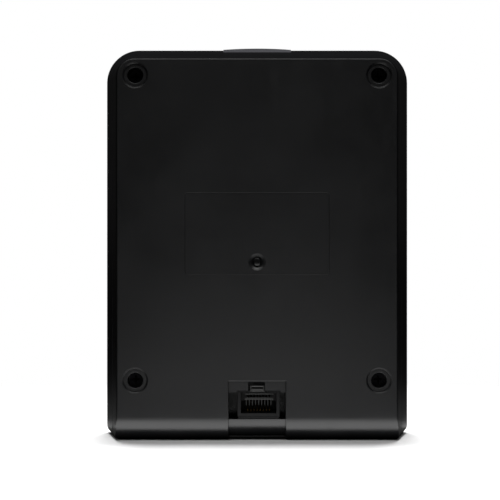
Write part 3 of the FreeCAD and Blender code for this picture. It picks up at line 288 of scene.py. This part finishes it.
JACK_FACE_Y = 16.55
CATCH_LOW_Z = 16.30
CATCH_TOP_Z = 18.20
catch = bmesh.new()
for left, right in ((-2.35, -1.95), (1.85, 2.25)):
    add_block(catch, (left, JACK_FACE_Y, CATCH_LOW_Z), (right, JACK_FACE_Y + 0.50, CATCH_TOP_Z), 0.10)
for low_z, top_z in ((17.75, CATCH_TOP_Z), (CATCH_LOW_Z, 17.15)):
    add_block(catch, (-1.98, JACK_FACE_Y, low_z), (1.88, JACK_FACE_Y + 0.55, top_z), 0.18)
settle(catch, "jack_latch_catch", comb_plastic, "housing")

ledge = bmesh.new()
add_block(ledge, (-7.20, 13.5, 7.26), (6.20, 16.75, 7.86), 0.12)
settle(ledge, "jack_front_ledge", nylon, "housing")

# ---------------------------------------------------------------- tamper switch
# A glossy acetal pin with a domed tip stands in a dimple of the back. A light spring holds it out,
# and a small tactile switch on the main board feels it when the terminal leaves its wall.
acetal = moulded_plastic("plunger_black_acetal", (0.0024, 0.0024, 0.0026), (0.0038, 0.0038, 0.0041),
                         0.16, grain=0.30, depth=0.01, strength=0.2)
paint("tamper_plunger", acetal)
paint("tamper_spring", plated_metal("spring_music_wire", (0.42, 0.41, 0.39), (0.58, 0.57, 0.55), 0.25))
paint("tamper_switch", moulded_plastic("switch_black_nylon", (0.012, 0.012, 0.012), (0.018, 0.018, 0.018),
                                       0.38, grain=0.12, depth=0.03, strength=0.3))
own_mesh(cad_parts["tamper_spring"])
TIP_R = 1.24
TIP_RISE = 0.13
tip_low, tip_high = corners("tamper_plunger")
tip_z = (tip_low.z + tip_high.z) / 2
dome = bmesh.new()
bmesh.ops.create_uvsphere(dome, u_segments=40, v_segments=20, radius=1.0)
bmesh.ops.bisect_plane(dome, geom=dome.verts[:] + dome.edges[:] + dome.faces[:], plane_co=(0, 0, 0.0),
                       plane_no=(0, 1, 0), clear_inner=True)
bmesh.ops.holes_fill(dome, edges=[edge for edge in dome.edges if edge.is_boundary])
bmesh.ops.scale(dome, vec=(TIP_R, TIP_RISE, TIP_R), verts=dome.verts)
bmesh.ops.translate(dome, vec=(0.0, tip_high.y - 0.005, tip_z), verts=dome.verts)
settle(dome, "tamper_tip_dome", acetal, "tamper")


def spun_ring(shape, outline, x, z):
    """A closed ring about a line along the depth, from an outline of radius and depth."""
    before = set(shape.verts)
    face = shape.faces.new(bmesh.ops.create_vert(shape, co=(radius, y, 0.0))["vert"][0]
                           for radius, y in outline)
    bmesh.ops.spin(shape, geom=[face, *face.edges, *face.verts], cent=(0, 0, 0), axis=(0, 1, 0),
                   angle=2 * math.pi, steps=72, use_merge=True)
    bmesh.ops.delete(shape, geom=[face], context="FACES_ONLY")
    fresh = [vert for vert in shape.verts if vert not in before]
    bmesh.ops.translate(shape, vec=(x, 0.0, z), verts=fresh)


dish = bmesh.new()
spun_ring(dish, [(2.72, 17.92), (2.50, 17.855), (2.25, 17.765), (1.95, 17.635), (1.65, 17.49),
                 (1.46, 17.39), (1.43, 17.15), (1.96, 17.15), (2.60, 17.80)], 0.0, tip_z)
settle(dish, "tamper_dimple_dish", case, "housing")

# ---------------------------------------------------------------- screw well lips
# Each screw well opens through a shallow counterbore. A rounded lip lines it from just below the
# back face, so that its lower side catches the light from above.
lips = bmesh.new()
for x in (-SCREW_X / MM, SCREW_X / MM):
    for z in ((SCREW_MIDDLE_Z - SCREW_REACH_Z) / MM, (SCREW_MIDDLE_Z + SCREW_REACH_Z) / MM):
        spun_ring(lips, [(4.12, 18.285), (4.02, 18.27), (3.90, 18.21), (3.81, 18.11), (3.77, 17.98),
                         (3.76, 17.40), (4.12, 17.40)], x, z)
settle(lips, "screw_well_lips", case, "housing")

# ---------------------------------------------------------------- display
# A smoked acrylic window is glued into the front over a small liquid-crystal panel. A black band is
# screen printed on its inner side. Behind are the light guide and a snap-in carrier frame.
window_low, window_high = corners("display_window")
smoke = Finish("window_smoked_acrylic", (0.35, 0.36, 0.38), 0.03, Transmission_Weight=1.0, IOR=1.49,
               Coat_Weight=0.3, Coat_Roughness=0.02)
wipe = smoke.noise(70.0, detail=6.0, rough=0.7, stretch=(1.0, 1.0, 0.3))
smoke.set("Roughness", smoke.spread(wipe, 0.45, 0.75, 0.02, 0.07))
smoke.set("Normal", smoke.bump(smoke.noise(130.0, detail=1.0), 0.00002, 0.15))
paint("display_window", smoke)

ink = moulded_plastic("window_screen_ink", (0.0030, 0.0030, 0.0032), (0.0045, 0.0045, 0.0048), 0.35,
                      grain=0.15, depth=0.01, strength=0.2)
band = bmesh.new()
SIGHT_X = 26.2
SIGHT_Z = 19.8
BAND_X = 34.6
BAND_Z = 20.6
INK_THICK = 0.02
middle = (window_low.z + window_high.z) / 2
ink_y = window_high.y + 0.03
for side in (-1, 1):
    near, far = sorted((side * SIGHT_X, side * BAND_X))
    add_block(band, (near, ink_y, middle - BAND_Z), (far, ink_y + INK_THICK, middle + BAND_Z))
    near, far = sorted((side * SIGHT_Z, side * BAND_Z))
    add_block(band, (-SIGHT_X, ink_y, middle + near), (SIGHT_X, ink_y + INK_THICK, middle + far))
settle(band, "window_printed_band", ink, "housing")

glass = Finish("lcd_glass_unlit", (0.010, 0.012, 0.013), 0.10, Coat_Weight=0.6, Coat_Roughness=0.05)
column, _, row = glass.axes()
dots = (column * 5200.0).math("FRACT").math("MAXIMUM", (row * 5200.0).math("FRACT")) > 0.82
glass.set("Base Color", glass.mix(dots * 0.7, (0.016, 0.019, 0.020), (0.006, 0.007, 0.008)))
glass.set("Roughness", glass.spread(glass.noise(60.0, detail=4.0), 0.3, 0.7, 0.07, 0.14))
paint("lcd_panel", glass)
guide_sheet = moulded_plastic("light_guide_acrylic", (0.55, 0.56, 0.57), (0.68, 0.69, 0.70), 0.30,
                              grain=0.40, depth=0.02, strength=0.3)
paint("lcd_backlight", guide_sheet)
carrier = moulded_plastic("carrier_black_polycarbonate", (0.010, 0.010, 0.011), (0.016, 0.016, 0.017), 0.45,
                          grain=0.16, depth=0.04, strength=0.3)
for name in ("lcd_frame", "sensor_housing"):
    paint(name, carrier)

# ---------------------------------------------------------------- flat flexes
# Amber polyimide ribbons with parallel copper tracks join the display, the keypad and the sensor
# to the main board. Each ends in a stiff, tinned tongue inside its connector.
ribbon = Finish("flex_polyimide_copper", (0.30, 0.11, 0.02), 0.34, Specular_IOR_Level=0.5)
track = (ribbon.axes()[0] * 1000.0).math("FRACT") > 0.45
haze = ribbon.noise(160.0, detail=4.0)
ribbon.set("Base Color", ribbon.mix(track, ribbon.mix(haze, (0.20, 0.070, 0.012), (0.28, 0.105, 0.02)),
                                    ribbon.mix(haze, (0.40, 0.17, 0.04), (0.50, 0.23, 0.06))))
ribbon.set("Roughness", ribbon.spread(haze, 0.3, 0.7, 0.26, 0.42))
ribbon.set("Normal", ribbon.bump(track, 0.00003, 0.6))
for name in ("lcd_flex", "keypad_flex", "sensor_flex"):
    paint(name, ribbon)

# ---------------------------------------------------------------- keypad
# Sixteen hard caps in dark grey ABS with paint-filled marks. Each sits on a silicone dome that gives
# way under it. The domes stand on one sheet, which lies on the keypad board.
cap_plastic = moulded_plastic("key_cap_grey_abs", (0.030, 0.031, 0.034), (0.042, 0.043, 0.046), 0.42,
                              grain=0.14, depth=0.035, strength=0.35)
fill = moulded_plastic("key_mark_white_paint", (0.62, 0.63, 0.62), (0.76, 0.77, 0.76), 0.50,
                       grain=0.10, depth=0.02, strength=0.3)
silicone = moulded_plastic("mat_silicone_rubber", (0.10, 0.11, 0.12), (0.14, 0.15, 0.16), 0.62,
                           grain=0.25, depth=0.05, strength=0.3)
MAT_THICK = 1.0
DOME_R = 2.6
DOME_TOP_R = 1.9
DOME_SINK = 0.01
keys = [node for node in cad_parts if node.startswith("key_")]
mat_low, mat_high = corners("keypad_mat")
sheet_front = mat_high.y - MAT_THICK
dome_height = sheet_front - mat_low.y
sheet = bmesh.new()
add_block(sheet, (mat_low.x, sheet_front, mat_low.z), tuple(mat_high), 0.2)
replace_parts(settle(sheet, "keypad_mat_sheet", silicone, "housing"), "keypad_mat")
for name in keys:
    middle = sum(corners(name), Vector()) / 2
    dome = bmesh.new()
    place = Matrix.Translation((middle.x, (sheet_front + mat_low.y) / 2 + DOME_SINK, middle.z))
    bmesh.ops.create_cone(dome, cap_ends=True, segments=40, radius1=DOME_R, radius2=DOME_TOP_R,
                          depth=dome_height, matrix=place @ Matrix.Rotation(math.pi / 2, 4, "X"))
    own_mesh(settle(dome, name + "_dome", silicone, "housing"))
MARK_RAISE = 0.03
MARK_HEIGHT = 4.2


def turned(x, z, angle=0.0):
    """A place on a cap's face: x to the right and z up from its middle, turned by degrees."""
    return Matrix.Translation((x, 0.0, z)) @ Matrix.Rotation(math.radians(angle), 4, "Y")


def bar(shape, x, z, width, height, angle=0.0, lift=0.0):
    """A flat painted bar on a cap; lift keeps the faces of crossing bars apart."""
    size = Matrix.Diagonal((width, 2 * (MARK_RAISE + lift), height, 1.0))
    bmesh.ops.create_cube(shape, size=1.0, matrix=turned(x, z, angle) @ size)


def disc(shape, x, z, radius, corners=28, angle=0.0, lift=0.0):
    """A flat painted disc, or a triangle with three corners."""
    upright = Matrix.Rotation(math.pi / 2, 4, "X")
    bmesh.ops.create_cone(shape, cap_ends=True, segments=corners, radius1=radius, radius2=radius,
                          depth=2 * (MARK_RAISE + lift), matrix=turned(x, z, angle) @ upright)


def digit(shape, figure):
    """A figure from the built-in font, made a mesh, laid on the cap's face."""
    text = bpy.data.curves.new("figure", "FONT")
    text.body = figure
    text.size = MARK_HEIGHT * 1.38
    text.extrude = MARK_RAISE
    text.align_x = "CENTER"
    text.align_y = "CENTER"
    holder = bpy.data.objects.new("figure", text)
    bpy.context.scene.collection.objects.link(holder)
    flat = bpy.data.meshes.new_from_object(holder)
    bpy.data.objects.remove(holder)
    bpy.data.curves.remove(text)
    shape.from_mesh(flat)
    bpy.data.meshes.remove(flat)
    bmesh.ops.rotate(shape, cent=(0, 0, 0), matrix=Matrix.Rotation(math.pi / 2, 3, "X"), verts=shape.verts)


def mark_cancel(shape):
    bar(shape, 0.0, 0.0, 4.4, 0.62, 45.0)
    bar(shape, 0.0, 0.0, 4.4, 0.62, -45.0, lift=0.006)


def mark_menu(shape):
    for z in (-1.35, 0.0, 1.35):
        bar(shape, 0.0, z, 4.4, 0.60)


def mark_up(shape):
    disc(shape, 0.0, -0.3, 2.1, corners=3)


def mark_down(shape):
    disc(shape, 0.0, 0.3, 2.1, corners=3, angle=180.0)


def mark_ok(shape):
    bar(shape, -1.35, -0.65, 2.2, 0.66, 45.0)
    bar(shape, 0.80, 0.05, 4.1, 0.66, -45.0, lift=0.006)


def mark_bell(shape):
    disc(shape, 0.0, 0.55, 1.30)
    bar(shape, 0.0, -0.25, 2.6, 1.7, lift=0.006)
    bar(shape, 0.0, -1.20, 3.9, 0.50, lift=0.012)
    disc(shape, 0.0, -1.70, 0.50, lift=0.018)
    disc(shape, 0.0, 1.90, 0.36, lift=0.018)


MARKS = {"cancel": mark_cancel, "menu": mark_menu, "up": mark_up, "down": mark_down,
         "ok": mark_ok, "bell": mark_bell}
for name in keys:
    paint(name, cap_plastic)
    which = name.removeprefix("key_")
    mark = bmesh.new()
    if which in MARKS:
        MARKS[which](mark)
    else:
        digit(mark, which)
    low, high = corners(name)
    bmesh.ops.translate(mark, vec=((low.x + high.x) / 2, low.y - 0.005, (low.z + high.z) / 2),
                        verts=mark.verts)
    settle(mark, "mark_" + which, fill, name + "_body")

# ---------------------------------------------------------------- fingerprint sensor
# A smoky guide leads the finger down onto a glass prism. Behind it a black housing holds five lamps
# and a small lens that looks at the prism.
guide_plastic = moulded_plastic("guide_smoky_polycarbonate", (0.036, 0.036, 0.040), (0.050, 0.050, 0.055),
                                0.33, grain=0.22, depth=0.03, strength=0.25, Specular_IOR_Level=0.5)
paint("finger_guide", guide_plastic)
prism = Finish("prism_optical_glass", (0.80, 0.86, 0.84), 0.02, Transmission_Weight=0.7, IOR=1.52)
prints = prism.noise(240.0, detail=5.0, rough=0.7)
prism.set("Roughness", prism.spread(prints, 0.5, 0.75, 0.01, 0.12))
prism.set("Normal", prism.bump(prism.noise(500.0, detail=2.0), 0.00001, 0.1))
paint("sensor_prism", prism)
paint("sensor_lens", moulded_plastic("lens_barrel_anodised", (0.012, 0.012, 0.013), (0.020, 0.020, 0.022),
                                     0.32, grain=0.10, depth=0.02, strength=0.3))
lamp_resin = Finish("lamp_clear_resin", (0.78, 0.80, 0.76), 0.12, Transmission_Weight=0.35, IOR=1.5)
lamp_resin.set("Roughness", lamp_resin.spread(lamp_resin.noise(900.0), 0.3, 0.7, 0.08, 0.2))
lamp_resin.set("Base Color", lamp_resin.mix(lamp_resin.noise(700.0, detail=3.0),
                                            (0.70, 0.72, 0.62), (0.85, 0.86, 0.82)))
for name in ("sensor_leds", "indicator_leds"):
    paint(name, lamp_resin)

# ---------------------------------------------------------------- circuit boards
# Glass-epoxy boards with a dark solder mask. Copper tracks show through it as faint raised lines,
# vias as small tinned dots. Chips, passives and connectors are soldered on the main board's back.
mask = Finish("board_dark_solder_mask", (0.004, 0.010, 0.007), 0.30, Specular_IOR_Level=0.5)
column, _, row = mask.axes()
flat = mask.node("ShaderNodeCombineXYZ", inputs=[column, row])
brick = {"offset": 0.5, "offset_frequency": 2}
sizes = {"Vector": flat, "Color1": (0.0, 0.0, 0.0), "Color2": (0.0, 0.0, 0.0), "Mortar": (1.0, 1.0, 1.0)}
wide = mask.node("ShaderNodeTexBrick", brick, {**sizes, "Scale": 210.0, "Mortar Size": 0.035,
                                               "Brick Width": 1.9, "Row Height": 0.31})
tall = mask.node("ShaderNodeTexBrick", brick, {**sizes, "Scale": 330.0, "Mortar Size": 0.05,
                                               "Brick Width": 0.7, "Row Height": 2.4})
region = mask.noise(60.0, detail=0.0) > 0.5
tracks = mask.mix(region, wide, tall)
cells = mask.node("ShaderNodeTexVoronoi", inputs={"Vector": flat, "Scale": 260.0})
vias = cells < 0.12
epoxy = mask.noise(900.0, detail=3.0)
coated = mask.mix(epoxy, (0.0030, 0.0085, 0.0060), (0.0042, 0.0110, 0.0078))
mask.set("Base Color", mask.mix(vias, mask.mix(tracks, coated, (0.010, 0.026, 0.016)), (0.35, 0.34, 0.31)))
mask.set("Metallic", vias * 0.8)
mask.set("Roughness", 0.26 + mask.spread(epoxy, 0.3, 0.7, 0.0, 0.1))
mask.set("Normal", mask.bump(tracks, 0.00004, 0.5))
for name in ("main_board", "keypad_board", "sensor_board", "indicator_board"):
    paint(name, mask)

resin = moulded_plastic("chip_black_epoxy", (0.012, 0.012, 0.013), (0.019, 0.019, 0.020), 0.52,
                        grain=0.06, depth=0.02, strength=0.4)
for name in ("processor", "memory_chips", "network_transformer"):
    paint(name, resin)
tin = plated_metal("pin_tinned_copper", (0.55, 0.54, 0.51), (0.70, 0.69, 0.66), 0.30)
board_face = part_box("main_board")[1].y / MM


def gull_wing(shape, x, z, turn, shoulder, run, width):
    """One lead: from the chip's side out, down to the board and along it, as a bent strip."""
    steps = ((0.0, shoulder), (0.35, shoulder), (0.55, 0.12), (run, 0.12))
    place = Matrix.Translation((x, board_face, z)) @ Matrix.Rotation(turn, 4, "Y")
    edge = shape.edges.new(
        bmesh.ops.create_vert(shape, co=place @ Vector((*steps[0], side * width / 2)))["vert"][0]
        for side in (-1, 1))
    for before, after in zip(steps, steps[1:]):
        move = place.to_3x3() @ Vector((after[0] - before[0], after[1] - before[1], 0.0))
        grown = bmesh.ops.extrude_edge_only(shape, edges=[edge])["geom"]
        fresh = [part for part in grown if isinstance(part, bmesh.types.BMVert)]
        bmesh.ops.translate(shape, vec=move, verts=fresh)
        edge = next(part for part in grown if isinstance(part, bmesh.types.BMEdge)
                    and all(vert in fresh for vert in part.verts))


def leads(name, low, high, along_z, count, shoulder, run, width, pitch):
    """Two facing rows of leads on a chip between two corners."""
    rows = bmesh.new()
    middle = (low + high) / 2
    for number in range(count):
        step = (number - (count - 1) / 2) * pitch
        if along_z:
            gull_wing(rows, high.x, middle.z + step, 0.0, shoulder, run, width)
            gull_wing(rows, low.x, middle.z + step, math.pi, shoulder, run, width)
        else:
            gull_wing(rows, middle.x + step, high.z, -math.pi / 2, shoulder, run, width)
            gull_wing(rows, middle.x + step, low.z, math.pi / 2, shoulder, run, width)
    bmesh.ops.recalc_face_normals(rows, faces=rows.faces)
    bmesh.ops.solidify(rows, geom=rows.faces[:], thickness=0.1)
    settle(rows, name, tin, "housing")


low, high = corners("processor")
leads("processor_side_leads", low, high, True, 30, 0.7, 1.1, 0.24, 0.5)
leads("processor_end_leads", low, high, False, 30, 0.7, 1.1, 0.24, 0.5)
low, high = corners("network_transformer")
leads("transformer_leads", low, high, False, 12, 1.0, 1.5, 0.4, 1.27)
low, high = corners("memory_chips")
MEMORY_LENGTH = 11.0
other = Vector((0.0, 0.0, high.z - low.z - MEMORY_LENGTH))
leads("memory_upper_leads", low + other, high, True, 14, 0.6, 0.9, 0.3, 0.72)
leads("memory_lower_leads", low, high - other, True, 14, 0.6, 0.9, 0.3, 0.72)

ceramic = moulded_plastic("passive_ceramic", (0.20, 0.13, 0.075), (0.30, 0.20, 0.12), 0.40,
                          grain=0.08, depth=0.02, strength=0.3)
PASSIVES = 90
PLACE_GRID = 1.3
CHIP_ROOM = 2.2
PASSIVE_ROOM = 2.5
random.seed(7)
taken = [corners(name) for name in
         ("processor", "memory_chips", "network_transformer", "capacitors", "power_inductor",
          "battery_holder", "board_connectors", "tamper_switch", "sensor_flex", "lcd_flex")]
taken.append((Vector((-14.0, 0.0, 0.0)), Vector((13.0, 0.0, 24.0))))
board_low, board_high = corners("main_board")
bodies = bmesh.new()
ends = bmesh.new()
placed = []
while len(placed) < PASSIVES:
    x = round(random.uniform(board_low.x + 7.0, board_high.x - 7.0) / PLACE_GRID) * PLACE_GRID
    z = round(random.uniform(board_low.z + 4.0, board_high.z - 4.0) / PLACE_GRID) * PLACE_GRID
    lying = random.random() < 0.5
    clear = all(not (a.x - CHIP_ROOM < x < b.x + CHIP_ROOM and a.z - CHIP_ROOM < z < b.z + CHIP_ROOM)
                for a, b in taken)
    if not clear or any(abs(x - px) < PASSIVE_ROOM and abs(z - pz) < PASSIVE_ROOM for px, pz in placed):
        continue
    placed.append((x, z))
    reach_x, reach_z = (0.62, 0.40) if lying else (0.40, 0.62)
    add_block(bodies, (x - reach_x, board_face + 0.02, z - reach_z),
              (x + reach_x, board_face + 0.48, z + reach_z))
    cap_x, cap_z = (0.15, 0.42) if lying else (0.42, 0.15)
    for sign in (-1, 1):
        cx = x + sign * 0.68 * lying
        cz = z + sign * 0.68 * (not lying)
        add_block(ends, (cx - cap_x, board_face, cz - cap_z), (cx + cap_x, board_face + 0.52, cz + cap_z))
settle(bodies, "passive_bodies", ceramic, "housing")
settle(ends, "passive_end_caps", tin, "housing")

can = Finish("capacitor_sleeve_and_can", (0.60, 0.60, 0.60), 0.30, 0.9)
SLEEVE_END_Y = 0.0098
sleeve = can.axes()[1] < SLEEVE_END_Y
brushed = can.noise(1800.0, detail=3.0, stretch=(0.1, 1.0, 1.0))
can.set("Base Color", can.mix(sleeve, can.mix(brushed, (0.52, 0.52, 0.52), (0.70, 0.70, 0.71)),
                              (0.010, 0.012, 0.020)))
can.set("Metallic", 0.95 - sleeve * 0.95)
can.set("Roughness", can.spread(brushed, 0.3, 0.7, 0.24, 0.38))
can.set("Normal", can.bump(brushed, 0.00002, 0.3))
paint("capacitors", can)
paint("power_inductor", moulded_plastic("inductor_ferrite", (0.030, 0.029, 0.028), (0.050, 0.048, 0.046),
                                        0.58, grain=0.20, depth=0.06, strength=0.5))
ivory = moulded_plastic("connector_ivory_nylon", (0.55, 0.51, 0.42), (0.66, 0.62, 0.53), 0.42,
                        grain=0.15, depth=0.03, strength=0.3)
for name in ("board_connectors", "battery_holder"):
    paint(name, ivory)

cell = Finish("coin_cell_stainless", (0.60, 0.59, 0.57), 0.24, 1.0)
cell_low, cell_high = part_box("coin_cell")
hub = cell.node("ShaderNodeMapping", inputs={
    "Vector": cell.place, "Scale": (1.0, 0.0, 1.0),
    "Location": (-(cell_low.x + cell_high.x) / 2, 0.0, -(cell_low.z + cell_high.z) / 2)})
radius = cell.node("ShaderNodeVectorMath", {"operation": "LENGTH"}, [hub], output="Value")
rings = cell.node("ShaderNodeTexNoise", {"noise_dimensions": "1D"}, {"W": radius * 9000.0, "Detail": 2.0})
cell.set("Base Color", cell.mix(rings, (0.50, 0.49, 0.47), (0.70, 0.69, 0.67)))
cell.set("Roughness", cell.spread(rings, 0.3, 0.7, 0.18, 0.32))
cell.set("Normal", cell.bump(rings, 0.00001, 0.4))
paint("coin_cell", cell)

# ---------------------------------------------------------------- speaker and indicator lights
# A small round speaker plays through five slots, with acoustic cloth behind them. Two clear rods
# carry the indicator lamps' light to the front.
paint("speaker", moulded_plastic("speaker_frame_black", (0.010, 0.010, 0.011), (0.016, 0.016, 0.017), 0.40,
                                 grain=0.20, depth=0.03, strength=0.3))
cloth = Finish("acoustic_cloth", (0.008, 0.008, 0.009), 0.85, Sheen_Weight=0.2)
column, _, row = cloth.axes()
warp = (column * 15700.0).math("SINE")
weft = (row * 15700.0).math("SINE")
weave = (warp * weft) * 0.5 + 0.5
cloth.set("Base Color", cloth.mix(weave, (0.003, 0.003, 0.003), (0.018, 0.018, 0.019)))
cloth.set("Normal", cloth.bump(weave, 0.00008, 0.8))
paint("speaker_mesh", cloth)
insulation = Finish("lead_pvc_insulation", (0.30, 0.012, 0.010), 0.42)
LEAD_SPLIT_X = -0.030
insulation.set("Base Color", insulation.mix(insulation.axes()[0] < LEAD_SPLIT_X,
                                            (0.42, 0.015, 0.012), (0.010, 0.010, 0.010)))
insulation.set("Roughness", insulation.spread(insulation.noise(500.0, detail=3.0), 0.3, 0.7, 0.34, 0.5))
insulation.set("Normal", insulation.bump(insulation.noise(2500.0), 0.00002, 0.2))
paint("speaker_leads", insulation)
rod = Finish("light_pipe_clear_acrylic", (0.86, 0.88, 0.88), 0.10, Transmission_Weight=0.55, IOR=1.49)
rod.set("Roughness", rod.spread(rod.noise(1500.0, detail=3.0), 0.3, 0.7, 0.10, 0.22))
rod.set("Normal", rod.bump(rod.noise(2600.0, detail=2.0), 0.00002, 0.3))
paint("light_pipes", rod)

# ---------------------------------------------------------------- studio
# A pale floor fades to white away from the terminal. A lamp above and a broad one behind the viewer
# are helped by a far glow and by strips that lie on the floor, which light the rolled lower edge.
# The camera looks level at the back, a little above the middle of its height.
CAMERA_BACK = 0.690
CAMERA_HEIGHT = 0.0676
CAMERA_LENS = 151.7
SHIFT_X = -0.0142
SHIFT_Y = -0.0298

floor_mesh = bpy.data.meshes.new("floor")
shape = bmesh.new()
bmesh.ops.create_circle(shape, cap_ends=True, segments=96, radius=6.0)
shape.to_mesh(floor_mesh)
shape.free()
floor = bpy.data.objects.new("floor", floor_mesh)
bpy.context.scene.collection.objects.link(floor)
paper = Finish("paper_floor", (0.9, 0.9, 0.9), 0.9, Specular_IOR_Level=0.0, Emission_Strength=1.0)
seen = paper.node("ShaderNodeLightPath")
reach = paper.node("ShaderNodeVectorMath", {"operation": "LENGTH"}, [paper.place], output="Value")
far = paper.spread(reach, 0.10, 0.26)
near_color = paper.mix(seen, (0.04, 0.04, 0.04), (0.9, 0.9, 0.9))
paper.set("Base Color", paper.mix(far, near_color, (0.0, 0.0, 0.0)))
paper.set("Emission Color", paper.mix(far * seen, (0.0, 0.0, 0.0), (1.0, 1.0, 1.0)))
floor_mesh.materials.append(paper.material)


def soft_light(name, place, size, power, aim=(0.0, 0.0, 0.06), glossy=True):
    """Rectangular area light at a place, turned to an aim point."""
    light = bpy.data.lights.new(name, "AREA")
    light.shape = "RECTANGLE"
    light.size, light.size_y = size
    light.energy = power
    lamp = bpy.data.objects.new(name, light)
    direction = Vector(aim) - Vector(place)
    lamp.rotation_euler = direction.to_track_quat("-Z", "Y").to_euler()
    lamp.location = place
    lamp.visible_camera = False
    lamp.visible_glossy = glossy
    bpy.context.scene.collection.objects.link(lamp)


def floor_strip(name, start, end, power):
    """Area light that lies on the floor between two depths and shines up."""
    middle = (start + end) / 2
    soft_light(name, (0.0, middle, 0.0004), (0.12, abs(end - start)), power, aim=(0.0, middle, 1.0))


soft_light("overhead", (0.0, -0.28, 1.6), (0.45, 0.45), 46.0, glossy=False)
soft_light("behind", (0.0, 1.2, 1.3), (1.4, 0.9), 12.0)
soft_light("backdrop_glow", (0.0, 2.0, 0.75), (2.0, 0.9), 0.60)
floor_strip("back_strip_near", 0.0186, 0.036, 0.0190)
floor_strip("back_strip_wide", 0.075, 0.440, 0.165)
floor_strip("front_strip_wide", -0.200, -0.025, 0.090)

world = bpy.data.worlds.new("studio")
bpy.context.scene.world = world
world.use_nodes = True
tree = world.node_tree
backdrop = tree.nodes["Background"]
backdrop.inputs["Color"].default_value = (1.0, 1.0, 1.0, 1.0)
rays = tree.nodes.new("ShaderNodeLightPath")
level = tree.nodes.new("ShaderNodeMapRange")
level.inputs["To Min"].default_value = 0.014
level.inputs["To Max"].default_value = 1.0
tree.links.new(rays.outputs["Is Camera Ray"], level.inputs["Value"])
tree.links.new(level.outputs["Result"], backdrop.inputs["Strength"])

camera = bpy.data.cameras.new("camera")
camera.lens = CAMERA_LENS
camera.shift_x = SHIFT_X
camera.shift_y = SHIFT_Y
camera.clip_start = 0.01
eye = bpy.data.objects.new("camera", camera)
bpy.context.scene.collection.objects.link(eye)
eye.location = (0.0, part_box("rear_cover")[1].y + CAMERA_BACK, CAMERA_HEIGHT)
eye.rotation_euler = (math.pi / 2, 0.0, math.pi)
bpy.context.scene.camera = eye
bpy.context.scene.view_settings.view_transform = "Standard"
